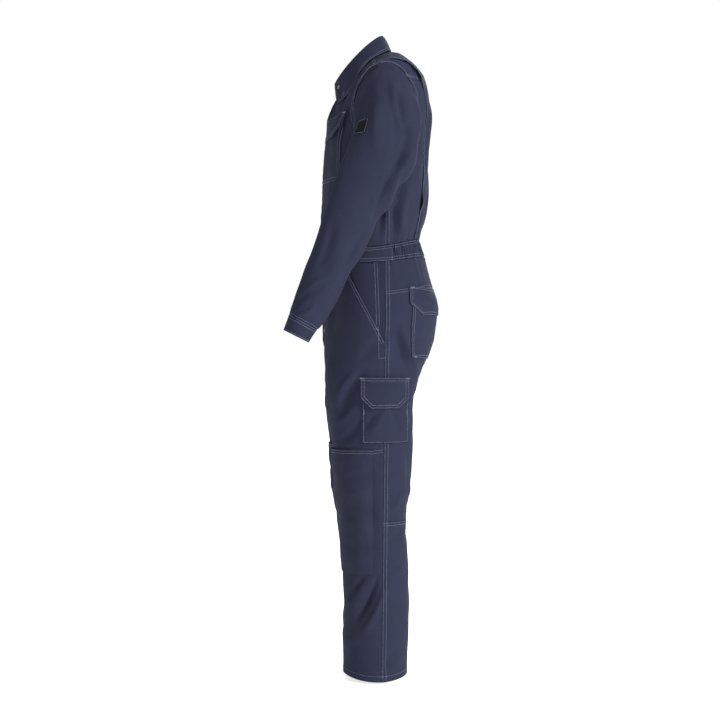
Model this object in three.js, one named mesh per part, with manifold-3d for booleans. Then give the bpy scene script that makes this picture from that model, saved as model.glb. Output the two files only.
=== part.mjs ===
// A boiler suit in heavy navy twill, empty but still filled out as it was worn.
// Millimetres, +Z up, +X the wearer's left and -Y the front.
// The origin lies between the shoulders, in the middle of the neck opening.

import * as THREE from "three";
import { mergeVertices } from "three/addons/utils/BufferGeometryUtils.js";
import Module from "manifold-3d";

const wasm = await Module();
wasm.setup();

// Cloth and seams
const cloth = 1.6; // wall of one layer
const doubled = 2.6; // wall of a faced piece, such as a cuff, a band or the collar stand
const seamGap = 0.3; // between neighbouring pieces
const halfGap = seamGap / 2;
const firstLayer = seamGap; // inner face of a piece that lies on a panel
const secondLayer = 2 * seamGap + cloth; // inner face of a flap that lies on a pocket

// How finely the cloth is divided
const panelColumns = 8;
const backColumns = 16;
const armholeRows = 10;
const sleeveColumns = 2 * armholeRows;
const collarColumns = 26;

// Armhole, measured from its own middle line, and the pose of the wearer's right side
const armholeForward = 68;
const armholeBackward = 85;
const sleeveRearFullness = 45; // draws the sleeve's rear out below the armhole
const rightCuffForward = 26; // the right cuff swings this far ahead of the left
const rightCuffRaised = 12; // and up
const rightSwingTop = -300; // from here down the right sleeve swings

// Action pleats at the sides of the back panel
const pleatAngle = 62.5; // round the back from the side, down to the waist's rise
const pleatWaistAngle = 57;
const pleatUnderlap = 8; // degrees of side panel hidden under the back panel
const pleatLayers = 4.5; // the back panel lies this far out where it covers the side panels
const pleatStand = 4.5; // how much further the pleat's edge stands off
const pleatTop = 7.5; // section where the pleat's edge meets the shoulder seam

// Waistband
const elasticStart = 38; // y where the plain front band ends and the elastic back band starts
const gathers = 34;
const gatherDepth = 1.9;

// Front placket
const placketLeft = 28;
const placketRight = -22;
const placketEnd = 4.5; // trouser section where it ends

// Seams that cross the panels
const backYokeSection = 6.3;
const hipSeamSection = 1;
const kneeSeamSection = 12;
const pocketMouth = { yTop: -80, zTop: -522, zBottom: -712 };

const colours = {
  twill: { color: 0x343a52, roughness: 0.85, metalness: 0 },
  label: { color: 0x191a1d, roughness: 0.8, metalness: 0 },
  snap: { color: 0x6d6b66, roughness: 0.4, metalness: 0.8 },
};

const radians = THREE.MathUtils.degToRad;
const degrees = THREE.MathUtils.radToDeg;
const smooth = (x) => THREE.MathUtils.smoothstep(x, 0, 1);

function table(columns, ...rows) {
  return rows.map((row) => Object.fromEntries(columns.map((name, i) => [name, row[i]])));
}

// Sections of the body from the waist seam up to the neck seam. Each is a closed curve with its own
// height at the front, side and back, and its seam (side or shoulder) at a given y.
const sectionColumns =
  ["zFront", "zSide", "zBack", "xMiddle", "halfWidth", "yFront", "yBack", "powerFront", "powerBack", "ySeam"];
const bodySections = table(sectionColumns,
  [-472, -482, -452, 0, 180, -122, 105, 2.2, 2.2, 20],
  [-430, -435, -418, 0, 188, -131, 113, 2.2, 2.2, 20],
  [-365, -362, -358, 0, 196, -132, 122, 2.2, 2.2, 20],
  [-300, -292, -290, 0, 204, -131, 129, 2.2, 2.2, 20],
  [-240, -225, -222, 0, 210, -127, 133, 2.1, 2.2, 17],
  [-192, -160, -152, 0, 211, -121, 134, 2.0, 2.2, 13],
  [-156, -105, -96, 0, 208, -120, 130, 1.9, 2.1, 8],
  [-132, -54, -56, 0, 200, -112, 121, 1.8, 2.0, 3],
  [-118, -40, -22, 0, 142, -106, 98, 1.8, 2.0, 0],
  [-107, -32, 7, 0, 104, -100, 65, 1.9, 2.0, -3],
  [-98, -28, 15, 0, 72, -93, 36, 2.0, 2.0, -5]);
const armpit = 3;
const shoulderTip = 7;
const neck = 10;

// Sections of the trousers from the waistband down. Where the middle lies off the centre plane,
// what falls beyond that plane is left out, which draws the crotch seam, and below it the leg closes.
const legSections = table(sectionColumns,
  [-508, -519, -496, 0, 184, -124, 119, 2.2, 2.2, 20],
  [-584, -589, -563, 2, 200, -129, 138, 2.2, 2.2, 20],
  [-625, -625, -618, 6, 199, -130, 149, 2.2, 2.2, 20],
  [-665, -665, -662, 20, 184, -130, 145, 2.2, 2.2, 20],
  [-700, -700, -700, 40, 163, -130, 138, 2.1, 2.1, 19],
  [-730, -730, -730, 64, 139, -128, 128, 2.1, 2.1, 19],
  [-752, -752, -752, 84, 118.5, -126, 119, 2.1, 2.1, 18],
  [-768, -768, -768, 100.6, 100.3, -125, 111, 2.1, 2.1, 18],
  [-800, -800, -800, 103.5, 97, -127, 102, 2.1, 2.1, 18],
  [-870, -870, -870, 103.5, 95, -122, 87, 2.1, 2.1, 18],
  [-950, -950, -950, 104.5, 91, -107, 88, 2.1, 2.1, 17],
  [-1050, -1050, -1050, 105.5, 87.5, -97, 82, 2.1, 2.1, 16],
  [-1133, -1132, -1133, 106.5, 84, -88, 72.5, 2.1, 2.1, 15],
  [-1230, -1230, -1230, 108, 81, -82, 75, 2.1, 2.1, 14],
  [-1340, -1340, -1340, 109.5, 79, -79.5, 79, 2.1, 2.1, 13],
  [-1440, -1440, -1440, 110, 78, -81, 76, 2.1, 2.1, 12],
  [-1500, -1509, -1502, 110, 77, -79, 73, 2.1, 2.1, 12]);
const crotch = 7;
const hem = 16;

// How far the right leg stands ahead of the left at the heights of the leg's sections.
const rightLegAhead = table(["z", "ahead"],
  [-768, 0], [-800, 2], [-870, 7], [-950, 13], [-1050, 14], [-1133, 12], [-1230, 4], [-1340, 2],
  [-1600, 2]);

// Rings of the sleeve from the upper arm to the wrist and on down the cuff, each square to the arm.
const armRings = table(["x", "y", "z", "across", "out"],
  [253, -15, -322, 71, 47],
  [258, -46, -382, 65, 46],
  [262, -70, -440, 58, 46],
  [264, -93, -497, 53.5, 45],
  [263, -119, -555, 50, 44],
  [261, -144, -612, 46.5, 43],
  [259, -162, -648, 41.5, 42],
  [258, -170, -661.5, 36.5, 40],
  [257, -178, -677, 34, 39],
  [256, -187, -695, 32, 38]);
const wrist = 7; // the ring where the sleeve is sewn to its cuff

// The largest folds, as troughs (negative) and ridges along a line seen from the side or the front.
// a and b are y on the side and x on the front and the back.
const folds = table(["view", "a", "zA", "b", "zB", "width", "depth"],
  ["front", 84, -40, 112, -185, 44, -21],
  ["side", -12, -75, -62, -260, 14, -9],
  ["side", -62, -150, -98, -400, 16, 3],
  ["side", 84, -170, 22, -395, 17, -6],
  ["side", 60, -250, -20, -470, 14, 4],
  ["side", -100, -500, -135, -600, 14, -2.5],
  ["side", 45, -300, 80, -450, 16, -4],
  ["side", -60, -800, -85, -950, 20, -4],
  ["side", 40, -700, 60, -790, 16, -3.5],
  ["side", -14, -985, -6, -1240, 11, -3.5],
  ["side", -8, -1290, -62, -1395, 13, -5],
  ["side", -30, -1270, -78, -1370, 13, 3],
  ["back", 70, -700, 30, -760, 16, -4],
  ["front", 84, -640, 60, -725, 13, -4],
  ["front", 110, -340, 60, -450, 20, -4],
  ["back", 60, -330, 80, -440, 16, -3.5]);

// The value of every column at a section number between two rows, on a smooth curve through the rows.
function between(rows, t) {
  const at = Math.min(Math.max(Math.floor(t), 0), rows.length - 2);
  const f = t - at;
  const [p, q, r, s] = [-1, 0, 1, 2].map((k) => rows[Math.min(Math.max(at + k, 0), rows.length - 1)]);
  const mixed = {};
  for (const name of Object.keys(q)) {
    const straight = q[name] * (1 - f) + r[name] * f;
    const curve = 0.5 * (2 * q[name] + (r[name] - p[name]) * f +
      (2 * p[name] - 5 * q[name] + 4 * r[name] - s[name]) * f * f +
      (3 * q[name] - p[name] - 3 * r[name] + s[name]) * f * f * f);
    mixed[name] = (straight + curve) / 2;
  }
  return mixed;
}

// A point of a section. The angle is 0 at the side, -90 at the front and 90 at the back.
function onSection(section, angle) {
  const c = Math.cos(radians(angle));
  const n = Math.sin(radians(angle));
  const power = n < 0 ? section.powerFront : section.powerBack;
  const halfDepth = (section.yBack - section.yFront) / 2;
  const along = Math.sign(n) * Math.abs(n) ** (2 / power);
  const tilt = (section.zBack - section.zFront) / 2;
  const crown = (section.zBack + section.zFront) / 2 - section.zSide;
  return new THREE.Vector3(
    section.xMiddle + section.halfWidth * Math.sign(c) * Math.abs(c) ** (2 / power),
    section.yFront + halfDepth * (1 + along),
    section.zSide + tilt * along + crown * along * along);
}

// The angle, between the front and the back of a section, where its outer side crosses a given y.
function angleAtY(section, y) {
  const halfDepth = (section.yBack - section.yFront) / 2;
  const along = (y - section.yFront) / halfDepth - 1;
  const power = along < 0 ? section.powerFront : section.powerBack;
  return degrees(Math.asin(Math.sign(along) * Math.min(1, Math.abs(along)) ** (power / 2)));
}

// How far round from the side a section crosses a given x, at the front or the back.
function reachToX(section, x, power) {
  const across = (x - section.xMiddle) / section.halfWidth;
  return degrees(Math.acos(Math.sign(across) * Math.min(1, Math.abs(across)) ** (power / 2)));
}

const bodyAt = (angle, t) => onSection(between(bodySections, t), angle);
const legAt = (angle, t) => onSection(between(legSections, t), angle);

// A fold fades away where the cloth turns out of its view.
const foldReach = {
  side: (point) => smooth((Math.abs(point.x) - 90) / 50),
  front: (point) => smooth((-point.y - 15) / 30),
  back: (point) => smooth((point.y - 15) / 30),
};

function foldDepth(point) {
  let depth = 0;
  for (const fold of folds) {
    const side = fold.view === "side";
    const turned = foldReach[fold.view](point);
    if (turned === 0) continue;
    const start = new THREE.Vector2(fold.a, fold.zA);
    const run = new THREE.Vector2(fold.b, fold.zB).sub(start);
    const here = new THREE.Vector2(side ? point.y : Math.abs(point.x), point.z).sub(start);
    const share = here.dot(run) / run.lengthSq();
    if (share < 0 || share > 1) continue;
    const off = Math.abs(here.cross(run)) / run.length();
    depth += fold.depth * turned * Math.sin(Math.PI * share) * Math.exp(-((off / fold.width) ** 2));
  }
  return depth;
}

// A grid node of cloth: the point on a surface and the way out of the cloth there.
function clothNode(surface, u, v, facing, raise = 0) {
  const du = 0.4;
  const dv = 0.02;
  const alongU = surface(u + du, v).sub(surface(u - du, v));
  const alongV = surface(u, v + dv).sub(surface(u, v - dv));
  const out = alongU.cross(alongV).normalize().multiplyScalar(facing);
  const point = surface(u, v);
  point.addScaledVector(out, raise + foldDepth(point));
  return { point, out };
}

// Rows of cloth nodes on the body or a leg, between two edge angles for each section number.
function panel(surface, facing, sectionNumbers, columns, edges, raise = () => 0) {
  return sectionNumbers.map((t) => {
    const [from, to] = edges(t);
    return Array.from({ length: columns + 1 }, (_, j) => {
      const angle = from + ((to - from) * j) / columns;
      return clothNode(surface, angle, t, facing, raise(angle, t));
    });
  });
}

function reversed(geometry) {
  const index = geometry.index.array;
  for (let i = 0; i < index.length; i += 3) {
    [index[i + 1], index[i + 2]] = [index[i + 2], index[i + 1]];
  }
  return geometry;
}

function volume(geometry) {
  const p = geometry.getAttribute("position");
  const corner = (k) => new THREE.Vector3().fromBufferAttribute(p, geometry.index.getX(k));
  let six = 0;
  for (let i = 0; i < geometry.index.count; i += 3) {
    six += corner(i).dot(corner(i + 1).cross(corner(i + 2)));
  }
  return six / 6;
}

const facingOut = (geometry) => (volume(geometry) < 0 ? reversed(geometry) : geometry);

// A closed wall of cloth from a grid of nodes: the two faces lie at the given distances from the nodes.
// kind is "open", "round" when the columns close into a tube, or "twin" when the two halves of an
// open grid mirror each other.
function wall(grid, inner, outer, kind = "open") {
  const rows = grid.length;
  const columns = grid[0].length;
  const round = kind === "round";
  const last = round ? columns : columns - 1;
  const positions = [];
  for (const distance of [outer, inner]) {
    for (const row of grid) {
      for (const node of row) {
        positions.push(...node.point.clone().addScaledVector(node.out, distance).toArray());
      }
    }
  }
  const at = (layer, i, j) => layer * rows * columns + i * columns + (j % columns);
  const index = [];
  const quad = (a, b, c, d, turned = false) =>
    (turned ? index.push(b, c, d, b, d, a) : index.push(a, b, c, a, c, d));
  for (let i = 0; i < rows - 1; i += 1) {
    for (let j = 0; j < last; j += 1) {
      const turned = kind === "twin" && j >= last / 2;
      quad(at(0, i, j), at(0, i, j + 1), at(0, i + 1, j + 1), at(0, i + 1, j), turned);
      quad(at(1, i, j), at(1, i + 1, j), at(1, i + 1, j + 1), at(1, i, j + 1), turned);
    }
  }
  for (let j = 0; j < last; j += 1) {
    quad(at(0, 0, j), at(1, 0, j), at(1, 0, j + 1), at(0, 0, j + 1));
    quad(at(0, rows - 1, j), at(0, rows - 1, j + 1), at(1, rows - 1, j + 1), at(1, rows - 1, j));
  }
  if (!round) {
    for (let i = 0; i < rows - 1; i += 1) {
      quad(at(0, i, 0), at(0, i + 1, 0), at(1, i + 1, 0), at(1, i, 0));
      quad(at(0, i, last), at(1, i, last), at(1, i + 1, last), at(0, i + 1, last));
    }
  }
  const geometry = new THREE.BufferGeometry();
  geometry.setAttribute("position", new THREE.Float32BufferAttribute(positions, 3));
  geometry.setIndex(index);
  return facingOut(geometry);
}

function toSolid(geometry) {
  const bare = new THREE.BufferGeometry().setAttribute("position", geometry.getAttribute("position").clone());
  if (geometry.index) bare.setIndex(geometry.index.clone());
  const merged = mergeVertices(bare, 1e-4);
  const { array } = merged.getAttribute("position");
  return new wasm.Manifold(
    new wasm.Mesh({ numProp: 3, vertProperties: array, triVerts: new Uint32Array(merged.index.array) }));
}

function fromSolid(solid) {
  const mesh = solid.getMesh();
  const positions = new Float32Array(mesh.numVert * 3);
  for (let i = 0; i < mesh.numVert; i += 1) {
    positions.set(mesh.vertProperties.subarray(i * mesh.numProp, i * mesh.numProp + 3), i * 3);
  }
  const geometry = new THREE.BufferGeometry();
  geometry.setAttribute("position", new THREE.BufferAttribute(positions, 3));
  geometry.setIndex(Array.from(mesh.triVerts));
  return geometry;
}

// A block with the outline of a pattern piece. From the side the outline is (y, z) and runs outwards
// along x; from the front or the back it is (x, z) and runs outwards along y.
function patternBlock(view, outline, from, to) {
  const shape = new THREE.Shape(outline.map(([a, z]) => new THREE.Vector2(a, z)));
  const block = new THREE.ExtrudeGeometry(shape, { depth: to - from, bevelEnabled: false });
  const turn = new THREE.Matrix4();
  if (view === "side") {
    turn.set(0, 0, 1, from, 1, 0, 0, 0, 0, 1, 0, 0, 0, 0, 0, 1);
  } else {
    turn.set(1, 0, 0, 0, 0, 0, -1, view === "front" ? -from : to, 0, 1, 0, 0, 0, 0, 0, 1);
  }
  return block.applyMatrix4(turn);
}

function cutOut(geometry, block) {
  return fromSolid(toSolid(geometry).intersect(toSolid(block)));
}

// The free lower edge of a flap stands off the pocket: nodes moved out, more towards the bottom.
function standOff(grid, { top, bottom }, amount) {
  return grid.map((row) => row.map(({ point, out }) => ({
    point: point.clone().addScaledVector(out, amount * smooth((top - point.z) / (top - bottom))),
    out,
  })));
}

const suit = new THREE.Group();
suit.name = "boiler_suit";

function add(name, geometry, finish = colours.twill) {
  geometry.computeVertexNormals();
  const mesh = new THREE.Mesh(geometry, new THREE.MeshStandardMaterial(finish));
  mesh.name = name;
  suit.add(mesh);
}

// The wearer's right side: the left piece mirrored, and moved by the given amounts at each height.
function mirrored(geometry, moved = () => ({ y: 0, z: 0 })) {
  const copy = geometry.clone();
  const p = copy.getAttribute("position");
  for (let i = 0; i < p.count; i += 1) {
    const by = moved(p.getZ(i));
    p.setXYZ(i, -p.getX(i), p.getY(i) + by.y, p.getZ(i) + by.z);
  }
  return facingOut(copy);
}

function legAhead(z) {
  const below = rightLegAhead.findIndex((row) => row.z <= z);
  if (below === 0) return { y: 0, z: 0 };
  const [p, q] = [rightLegAhead[below - 1], rightLegAhead[below]];
  return { y: -THREE.MathUtils.mapLinear(z, p.z, q.z, p.ahead, q.ahead), z: 0 };
}
const armAhead = (z) => {
  const swing = smooth((rightSwingTop - z) / 400);
  return { y: -rightCuffForward * swing, z: rightCuffRaised * swing };
};

function addPair(name, geometry, ahead, finish) {
  add(`${name}_left`, geometry, finish);
  add(`${name}_right`, mirrored(geometry, ahead), finish);
}

// Body. Section numbers crowd towards both ends of the armhole so that its curve stays round.
const armholeShare = (k) => (1 - Math.cos((Math.PI * k) / armholeRows)) / 2;
const armholeSection = (k) => armpit + (shoulderTip - armpit) * armholeShare(k);
const bodyRows = [
  0, 0.75, 1.5, 2.25,
  ...Array.from({ length: armholeRows + 1 }, (_, k) => armholeSection(k)),
  pleatTop, 8, 8.6, 9.3, neck,
];

// y of a panel's outer edge: the side seam, then the armhole, then the shoulder seam.
function panelEdgeY(t, reach) {
  const { ySeam } = between(bodySections, t);
  const sign = Math.sign(reach);
  if (t <= armpit || t >= shoulderTip) return ySeam + sign * halfGap;
  const share = (t - armpit) / (shoulderTip - armpit);
  return ySeam + sign * halfGap + reach * Math.sqrt(Math.max(0, 1 - (2 * share - 1) ** 2));
}

const panelEdge = (t, reach) => angleAtY(between(bodySections, t), panelEdgeY(t, reach));

// The angle of the pleat's edge: level up the back, then curving over to the shoulder seam.
function pleatEdge(t) {
  const level = 5;
  const seam = panelEdge(t, Number.MIN_VALUE);
  if (t >= pleatTop) return seam;
  if (t <= level) return THREE.MathUtils.lerp(pleatWaistAngle, pleatAngle, t / level);
  return seam + (pleatAngle - seam) * Math.sqrt(1 - ((t - level) / (pleatTop - level)) ** 2);
}

function centreFront(section) {
  return -reachToX(section, halfGap, section.powerFront);
}

const frontGrid = panel(bodyAt, 1, bodyRows, panelColumns,
  (t) => [centreFront(between(bodySections, t)), panelEdge(t, -armholeForward)]);
addPair("front", wall(frontGrid, -cloth, 0));

// The back panel hangs from the shoulder seams to the waist and stands off along the pleats.
function backRaise(angle, t) {
  const inside = 90 - Math.abs(90 - angle) - pleatEdge(t);
  const low = 1 - smooth((t - pleatTop) / 0.5);
  const overlap = 1 - smooth((inside - pleatUnderlap - 2) / 12);
  const ends = smooth(t / 1.2) * (1 - smooth((t - 6) / 1.5));
  return seamGap + low * (pleatLayers * overlap + pleatStand * ends * Math.exp(-((inside / 7) ** 2)));
}

const backGrid = panel(bodyAt, 1, bodyRows, backColumns,
  (t) => [pleatEdge(t), 180 - pleatEdge(t)], backRaise);
add("back_panel", wall(backGrid, -cloth, 0, "twin"));

const underEdge = (t) => pleatEdge(t) + pleatUnderlap * (t >= pleatTop ? 0.5 : 1);
const sideBackRows = [...bodyRows.filter((t) => t < backYokeSection - 0.1), backYokeSection - 0.003];
const sideBackGrid = panel(bodyAt, 1, sideBackRows, 4, (t) => [panelEdge(t, armholeBackward), underEdge(t)]);
addPair("side_back", wall(sideBackGrid, -cloth, 0));

const yokeRows = [backYokeSection + 0.003, ...bodyRows.filter((t) => t > backYokeSection + 0.1 && t <= pleatTop)];
const yokeGrid = panel(bodyAt, 1, yokeRows, 4, (t) => [panelEdge(t, armholeBackward), underEdge(t)]);
addPair("shoulder_yoke", wall(yokeGrid, -cloth, 0));

// Chest pockets and their flaps, as outlines seen from the front (x, z).
const chestPocket = { inner: 44, outer: 165, top: -168, bottom: -321, corner: 14 };
const chestFlap = { inner: 41, outer: 168, top: -160, bottom: -221, corner: 24 };

function chamfered({ inner, outer, top, bottom, corner }) {
  return [[inner, top], [inner, bottom + corner], [inner + corner, bottom],
    [outer - corner, bottom], [outer, bottom + corner], [outer, top]];
}

addPair("chest_pocket",
  cutOut(wall(frontGrid, firstLayer, firstLayer + cloth), patternBlock("front", chamfered(chestPocket), 20, 200)));
addPair("chest_flap",
  cutOut(wall(standOff(frontGrid, chestFlap, 5), secondLayer, secondLayer + cloth),
    patternBlock("front", chamfered(chestFlap), 20, 200)));

// Sleeve: a cap that leaves the armhole, then rings down to the cuff.
function armholePoint(k) {
  const rank = k <= armholeRows ? armholeRows - k : k - armholeRows;
  const t = armholeSection(rank);
  const reach = k <= armholeRows ? armholeBackward : -armholeForward;
  return bodyAt(angleAtY(between(bodySections, t), panelEdgeY(t, reach)), t);
}

const armholeMiddle = new THREE.Vector3(190, 12, -172);
const armDirection = new THREE.Vector3(0.03, -0.42, -0.907).normalize();

// Column k of an arm ring: column 0 faces away from the body and the next ones go round by the back.
function armPoint(row, k) {
  const ring = armRings[row];
  const before = armRings[Math.max(row - 1, 0)];
  const after = armRings[Math.min(row + 1, armRings.length - 1)];
  const turn = (2 * Math.PI * k) / sleeveColumns;
  const slope = new THREE.Vector2(after.y - before.y, after.z - before.z).normalize();
  return new THREE.Vector3(
    ring.x + ring.out * Math.cos(turn),
    ring.y - ring.across * Math.sin(turn) * slope.y,
    ring.z + ring.across * Math.sin(turn) * slope.x);
}

function capPoint(share, k) {
  const start = armholePoint(k);
  start.addScaledVector(armholeMiddle.clone().sub(start).normalize(), seamGap + 0.1);
  const end = armPoint(0, k);
  const span = start.distanceTo(end);
  const topness = (1 + Math.cos((2 * Math.PI * k) / sleeveColumns)) / 2;
  const leave = new THREE.Vector3(0.86, 0, -0.5 - 0.2 * (1 - topness)).normalize();
  const handle = THREE.MathUtils.lerp(26, 58, topness);
  const outwards = start.clone().addScaledVector(leave, handle);
  const upwards = end.clone().addScaledVector(armDirection, -0.38 * span * (0.3 + 0.7 * topness));
  if (k < sleeveColumns / 2) upwards.y += sleeveRearFullness * Math.sin((2 * Math.PI * k) / sleeveColumns) ** 2;
  const r = 1 - share;
  return start.multiplyScalar(r ** 3)
    .addScaledVector(outwards, 3 * r * r * share)
    .addScaledVector(upwards, 3 * r * share * share)
    .addScaledVector(end, share ** 3);
}

// Nodes from bare points: the way out comes from the neighbouring points of the same grid.
function nodesOf(points, facing, { round = false, creased = false } = {}) {
  const columns = points[0].length;
  return points.map((row, i) => row.map((point, j) => {
    const left = round ? row[(j - 1 + columns) % columns] : row[Math.max(j - 1, 0)];
    const right = round ? row[(j + 1) % columns] : row[Math.min(j + 1, columns - 1)];
    const up = points[Math.max(i - 1, 0)][j];
    const down = points[Math.min(i + 1, points.length - 1)][j];
    const out = right.clone().sub(left).cross(down.clone().sub(up)).normalize().multiplyScalar(facing);
    return { point: point.clone().addScaledVector(out, creased && i > 0 ? foldDepth(point) : 0), out };
  }));
}

const aroundSleeve = Array.from({ length: sleeveColumns }, (_, k) => k);
const capShares = [0, 0.16, 0.36, 0.58, 0.8];
const sleevePoints = [
  ...capShares.map((share) => aroundSleeve.map((k) => capPoint(share, k))),
  ...armRings.slice(0, wrist + 1).map((_, row) => aroundSleeve.map((k) => armPoint(row, k))),
];
const sleeveGrid = nodesOf(sleevePoints, -1, { round: true, creased: true });
addPair("sleeve", wall(sleeveGrid, -cloth, 0, "round"), armAhead);

const cuffStep = new THREE.Vector3(0, -0.42, -0.907).multiplyScalar(seamGap + 0.1);
const cuffPoints = armRings.slice(wrist).map((_, row) =>
  aroundSleeve.map((k) => armPoint(wrist + row, k).add(cuffStep)));
addPair("cuff", wall(nodesOf(cuffPoints, -1, { round: true }), -doubled, 0.4, "round"), armAhead);

// Plain label on the left upper sleeve, seen from the side (y, z).
const label = { y: -39, z: -214, half: 17, lean: 5 };
const labelOutline = [[-1, 1], [-1, -1], [1, -1], [1, 1]].map(([a, b]) => {
  const corner = new THREE.Vector2(a * label.half, b * label.half).rotateAround(new THREE.Vector2(), -radians(label.lean));
  return [label.y + corner.x, label.z + corner.y];
});
add("sleeve_label",
  cutOut(wall(sleeveGrid, firstLayer, firstLayer + 1, "round"), patternBlock("side", labelOutline, 255, 340)),
  colours.label);

// Collar stand: from the neck seam up to the fold, with its two ends at the centre front.
const foldSection = table(sectionColumns, [-62, 3, 58, 0, 60, -101, 15, 2, 2, 0])[0];
const collarEnd = 87;
const collarShares = Array.from({ length: collarColumns + 1 }, (_, j) => 1 - (2 * j) / collarColumns);

// share runs from 1 at the left front end to -1 at the right front end, and is 0 at the centre back.
function collarPoint(share, rule) {
  const point = rule(Math.abs(share));
  if (share < 0) point.x = -point.x;
  return point;
}

const standAngle = (share) => 90 - (90 + collarEnd) * share;
const foldPoint = (share) => onSection(foldSection, standAngle(share));
const neckPoint = (share) => onSection(bodySections[neck], standAngle(share));

function standPoint(height, share) {
  const base = neckPoint(share);
  const top = foldPoint(share);
  const up = top.clone().sub(base).normalize();
  base.addScaledVector(up, 0.9);
  const out = new THREE.Vector3(base.x, base.y + 35, 0).normalize();
  return base.lerp(top, height).addScaledVector(out, 3 * Math.sin(Math.PI * height));
}

const standPoints = [0, 0.5, 1].map((height) =>
  collarShares.map((share) => collarPoint(share, (s) => standPoint(height, s))));
const standGrid = nodesOf(standPoints, -1);
add("collar_stand", wall(standGrid, -cloth, 0, "twin"));

// Collar fall: from the fold down over the neck seam, its points spread on the chest. The lower edge
// is given from the centre back (share 0) to the collar point (share 1).
const fallEdge = table(["share", "x", "y", "z"],
  [0, 0, 37, 29],
  [0.25, 58, 29, 18],
  [0.48, 88, 4, 0],
  [0.6, 97, -15, -14],
  [0.72, 103, -34, -44],
  [0.82, 102, -52, -77],
  [0.92, 85, -75, -108],
  [1, 62, -96, -121]);
const fallBulge = 3;

function fallEdgePoint(share) {
  const next = Math.max(1, fallEdge.findIndex((row) => row.share >= share));
  const step = (share - fallEdge[next - 1].share) / (fallEdge[next].share - fallEdge[next - 1].share);
  const row = between(fallEdge, next - 1 + step);
  return new THREE.Vector3(row.x, row.y, row.z);
}

function fallPoint(drop, share) {
  const top = foldPoint(share);
  const edge = fallEdgePoint(share);
  const away = new THREE.Vector3(top.x, top.y + 40, 0).normalize();
  top.addScaledVector(away, cloth + seamGap + 0.2);
  const roll = top.clone().lerp(edge, 0.4).addScaledVector(away, fallBulge);
  roll.z += fallBulge;
  return top.multiplyScalar((1 - drop) ** 2)
    .addScaledVector(roll, 2 * drop * (1 - drop))
    .addScaledVector(edge, drop * drop);
}

const fallDrops = [0, 0.2, 0.45, 0.72, 1];
const fallPoints = fallDrops.map((drop) =>
  collarShares.map((share) => collarPoint(share, (s) => fallPoint(drop, s))));
const fallGrid = nodesOf(fallPoints, 1);
add("collar_fall", wall(fallGrid, -cloth, 0, "twin"));

// Ring snaps on the collar points.
const snap = { radius: 4.6, hole: 1.7, height: 1.4, column: 1, row: 2, clear: 1.1, sides: 14 };

function snapGeometry() {
  const half = snap.height / 2;
  const profile = [[snap.hole, -half], [snap.radius, -half], [snap.radius, half * 0.2],
    [snap.radius - 0.8, half], [snap.hole + 0.6, half], [snap.hole, half * 0.2], [snap.hole, -half]]
    .map(([r, h]) => new THREE.Vector2(r, h));
  return mergeVertices(bareOf(new THREE.LatheGeometry(profile, snap.sides)), 1e-4);
}

function bareOf(geometry) {
  const bare = new THREE.BufferGeometry().setAttribute("position", geometry.getAttribute("position"));
  return bare.setIndex(geometry.index);
}

function addSnap() {
  const node = fallGrid[snap.row][snap.column];
  const turn = new THREE.Quaternion().setFromUnitVectors(new THREE.Vector3(0, 1, 0), node.out);
  const seat = node.point.clone().addScaledVector(node.out, snap.height / 2 + snap.clear);
  const ring = snapGeometry().applyQuaternion(turn).translate(seat.x, seat.y, seat.z);
  addPair("collar_snap", facingOut(ring), undefined, colours.snap);
}
addSnap();

// Waistband: plain in front, gathered by elastic behind.
function bandSection(share) {
  const top = { ...bodySections[0] };
  const bottom = { ...legSections[0] };
  for (const name of ["zFront", "zSide", "zBack"]) {
    top[name] -= 2 * seamGap;
    bottom[name] += 2 * seamGap;
  }
  return between([top, bottom], share);
}

const bandAt = (angle, share) => onSection(bandSection(share), angle);
const bandEdge = (share, side) => angleAtY(bandSection(share), elasticStart + side * halfGap);
const frontBandGrid = panel(bandAt, -1, [0, 1], panelColumns,
  (share) => [centreFront(bandSection(share)), bandEdge(share, -1)]);
addPair("waistband_front", wall(frontBandGrid, -doubled, 0));

const gatherColumns = gathers * 3;
const gatherWave = (angle, share) => {
  const from = bandEdge(0.5, 1);
  const turns = (gathers * (angle - from)) / (180 - 2 * from);
  return gatherDepth * Math.cos(2 * Math.PI * turns) * (0.55 + 0.45 * Math.sin(Math.PI * share));
};
const backBandGrid = panel(bandAt, -1, [0, 0.5, 1], gatherColumns,
  (share) => [bandEdge(share, 1), 180 - bandEdge(share, 1)], gatherWave);
add("waistband_back", wall(backBandGrid, -doubled, 0, "twin"));

// Trousers
const innerFront = (t) => {
  const section = between(legSections, t);
  if (t >= crotch) return -180 + 1.2 * halfGap;
  return -reachToX(section, halfGap, section.powerFront);
};
const innerBack = (t) => {
  const section = between(legSections, t);
  if (t >= crotch) return 180 - 1.2 * halfGap;
  return reachToX(section, halfGap, section.powerBack);
};
const legSeam = (t, side) => {
  const section = between(legSections, t);
  return angleAtY(section, section.ySeam + side * halfGap);
};

// The slanting pocket mouth cuts the front panel's corner away above the side seam.
function frontEdge(t) {
  const section = between(legSections, t);
  const share = (pocketMouth.zTop - section.zSide) / (pocketMouth.zTop - pocketMouth.zBottom);
  const y = THREE.MathUtils.lerp(pocketMouth.yTop, section.ySeam, Math.min(1, Math.max(0, share)));
  return angleAtY(section, y - halfGap);
}

const upperRows = [0, 0.5, 1, 1.6, 2.3, 3, 3.8, 4.5, 5, 5.6, 6, 6.5, 6.8, crotch, 7.5, 8, 9, 10, 11, kneeSeamSection];
const lowerRows = [kneeSeamSection, 13, 14, 15, hem];
const legRows = [...upperRows, ...lowerRows.slice(1)];

const trouserFrontGrid = panel(legAt, -1, legRows, panelColumns, (t) => [innerFront(t), frontEdge(t)]);
addPair("trouser_front", wall(trouserFrontGrid, -cloth, 0), legAhead);

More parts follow.
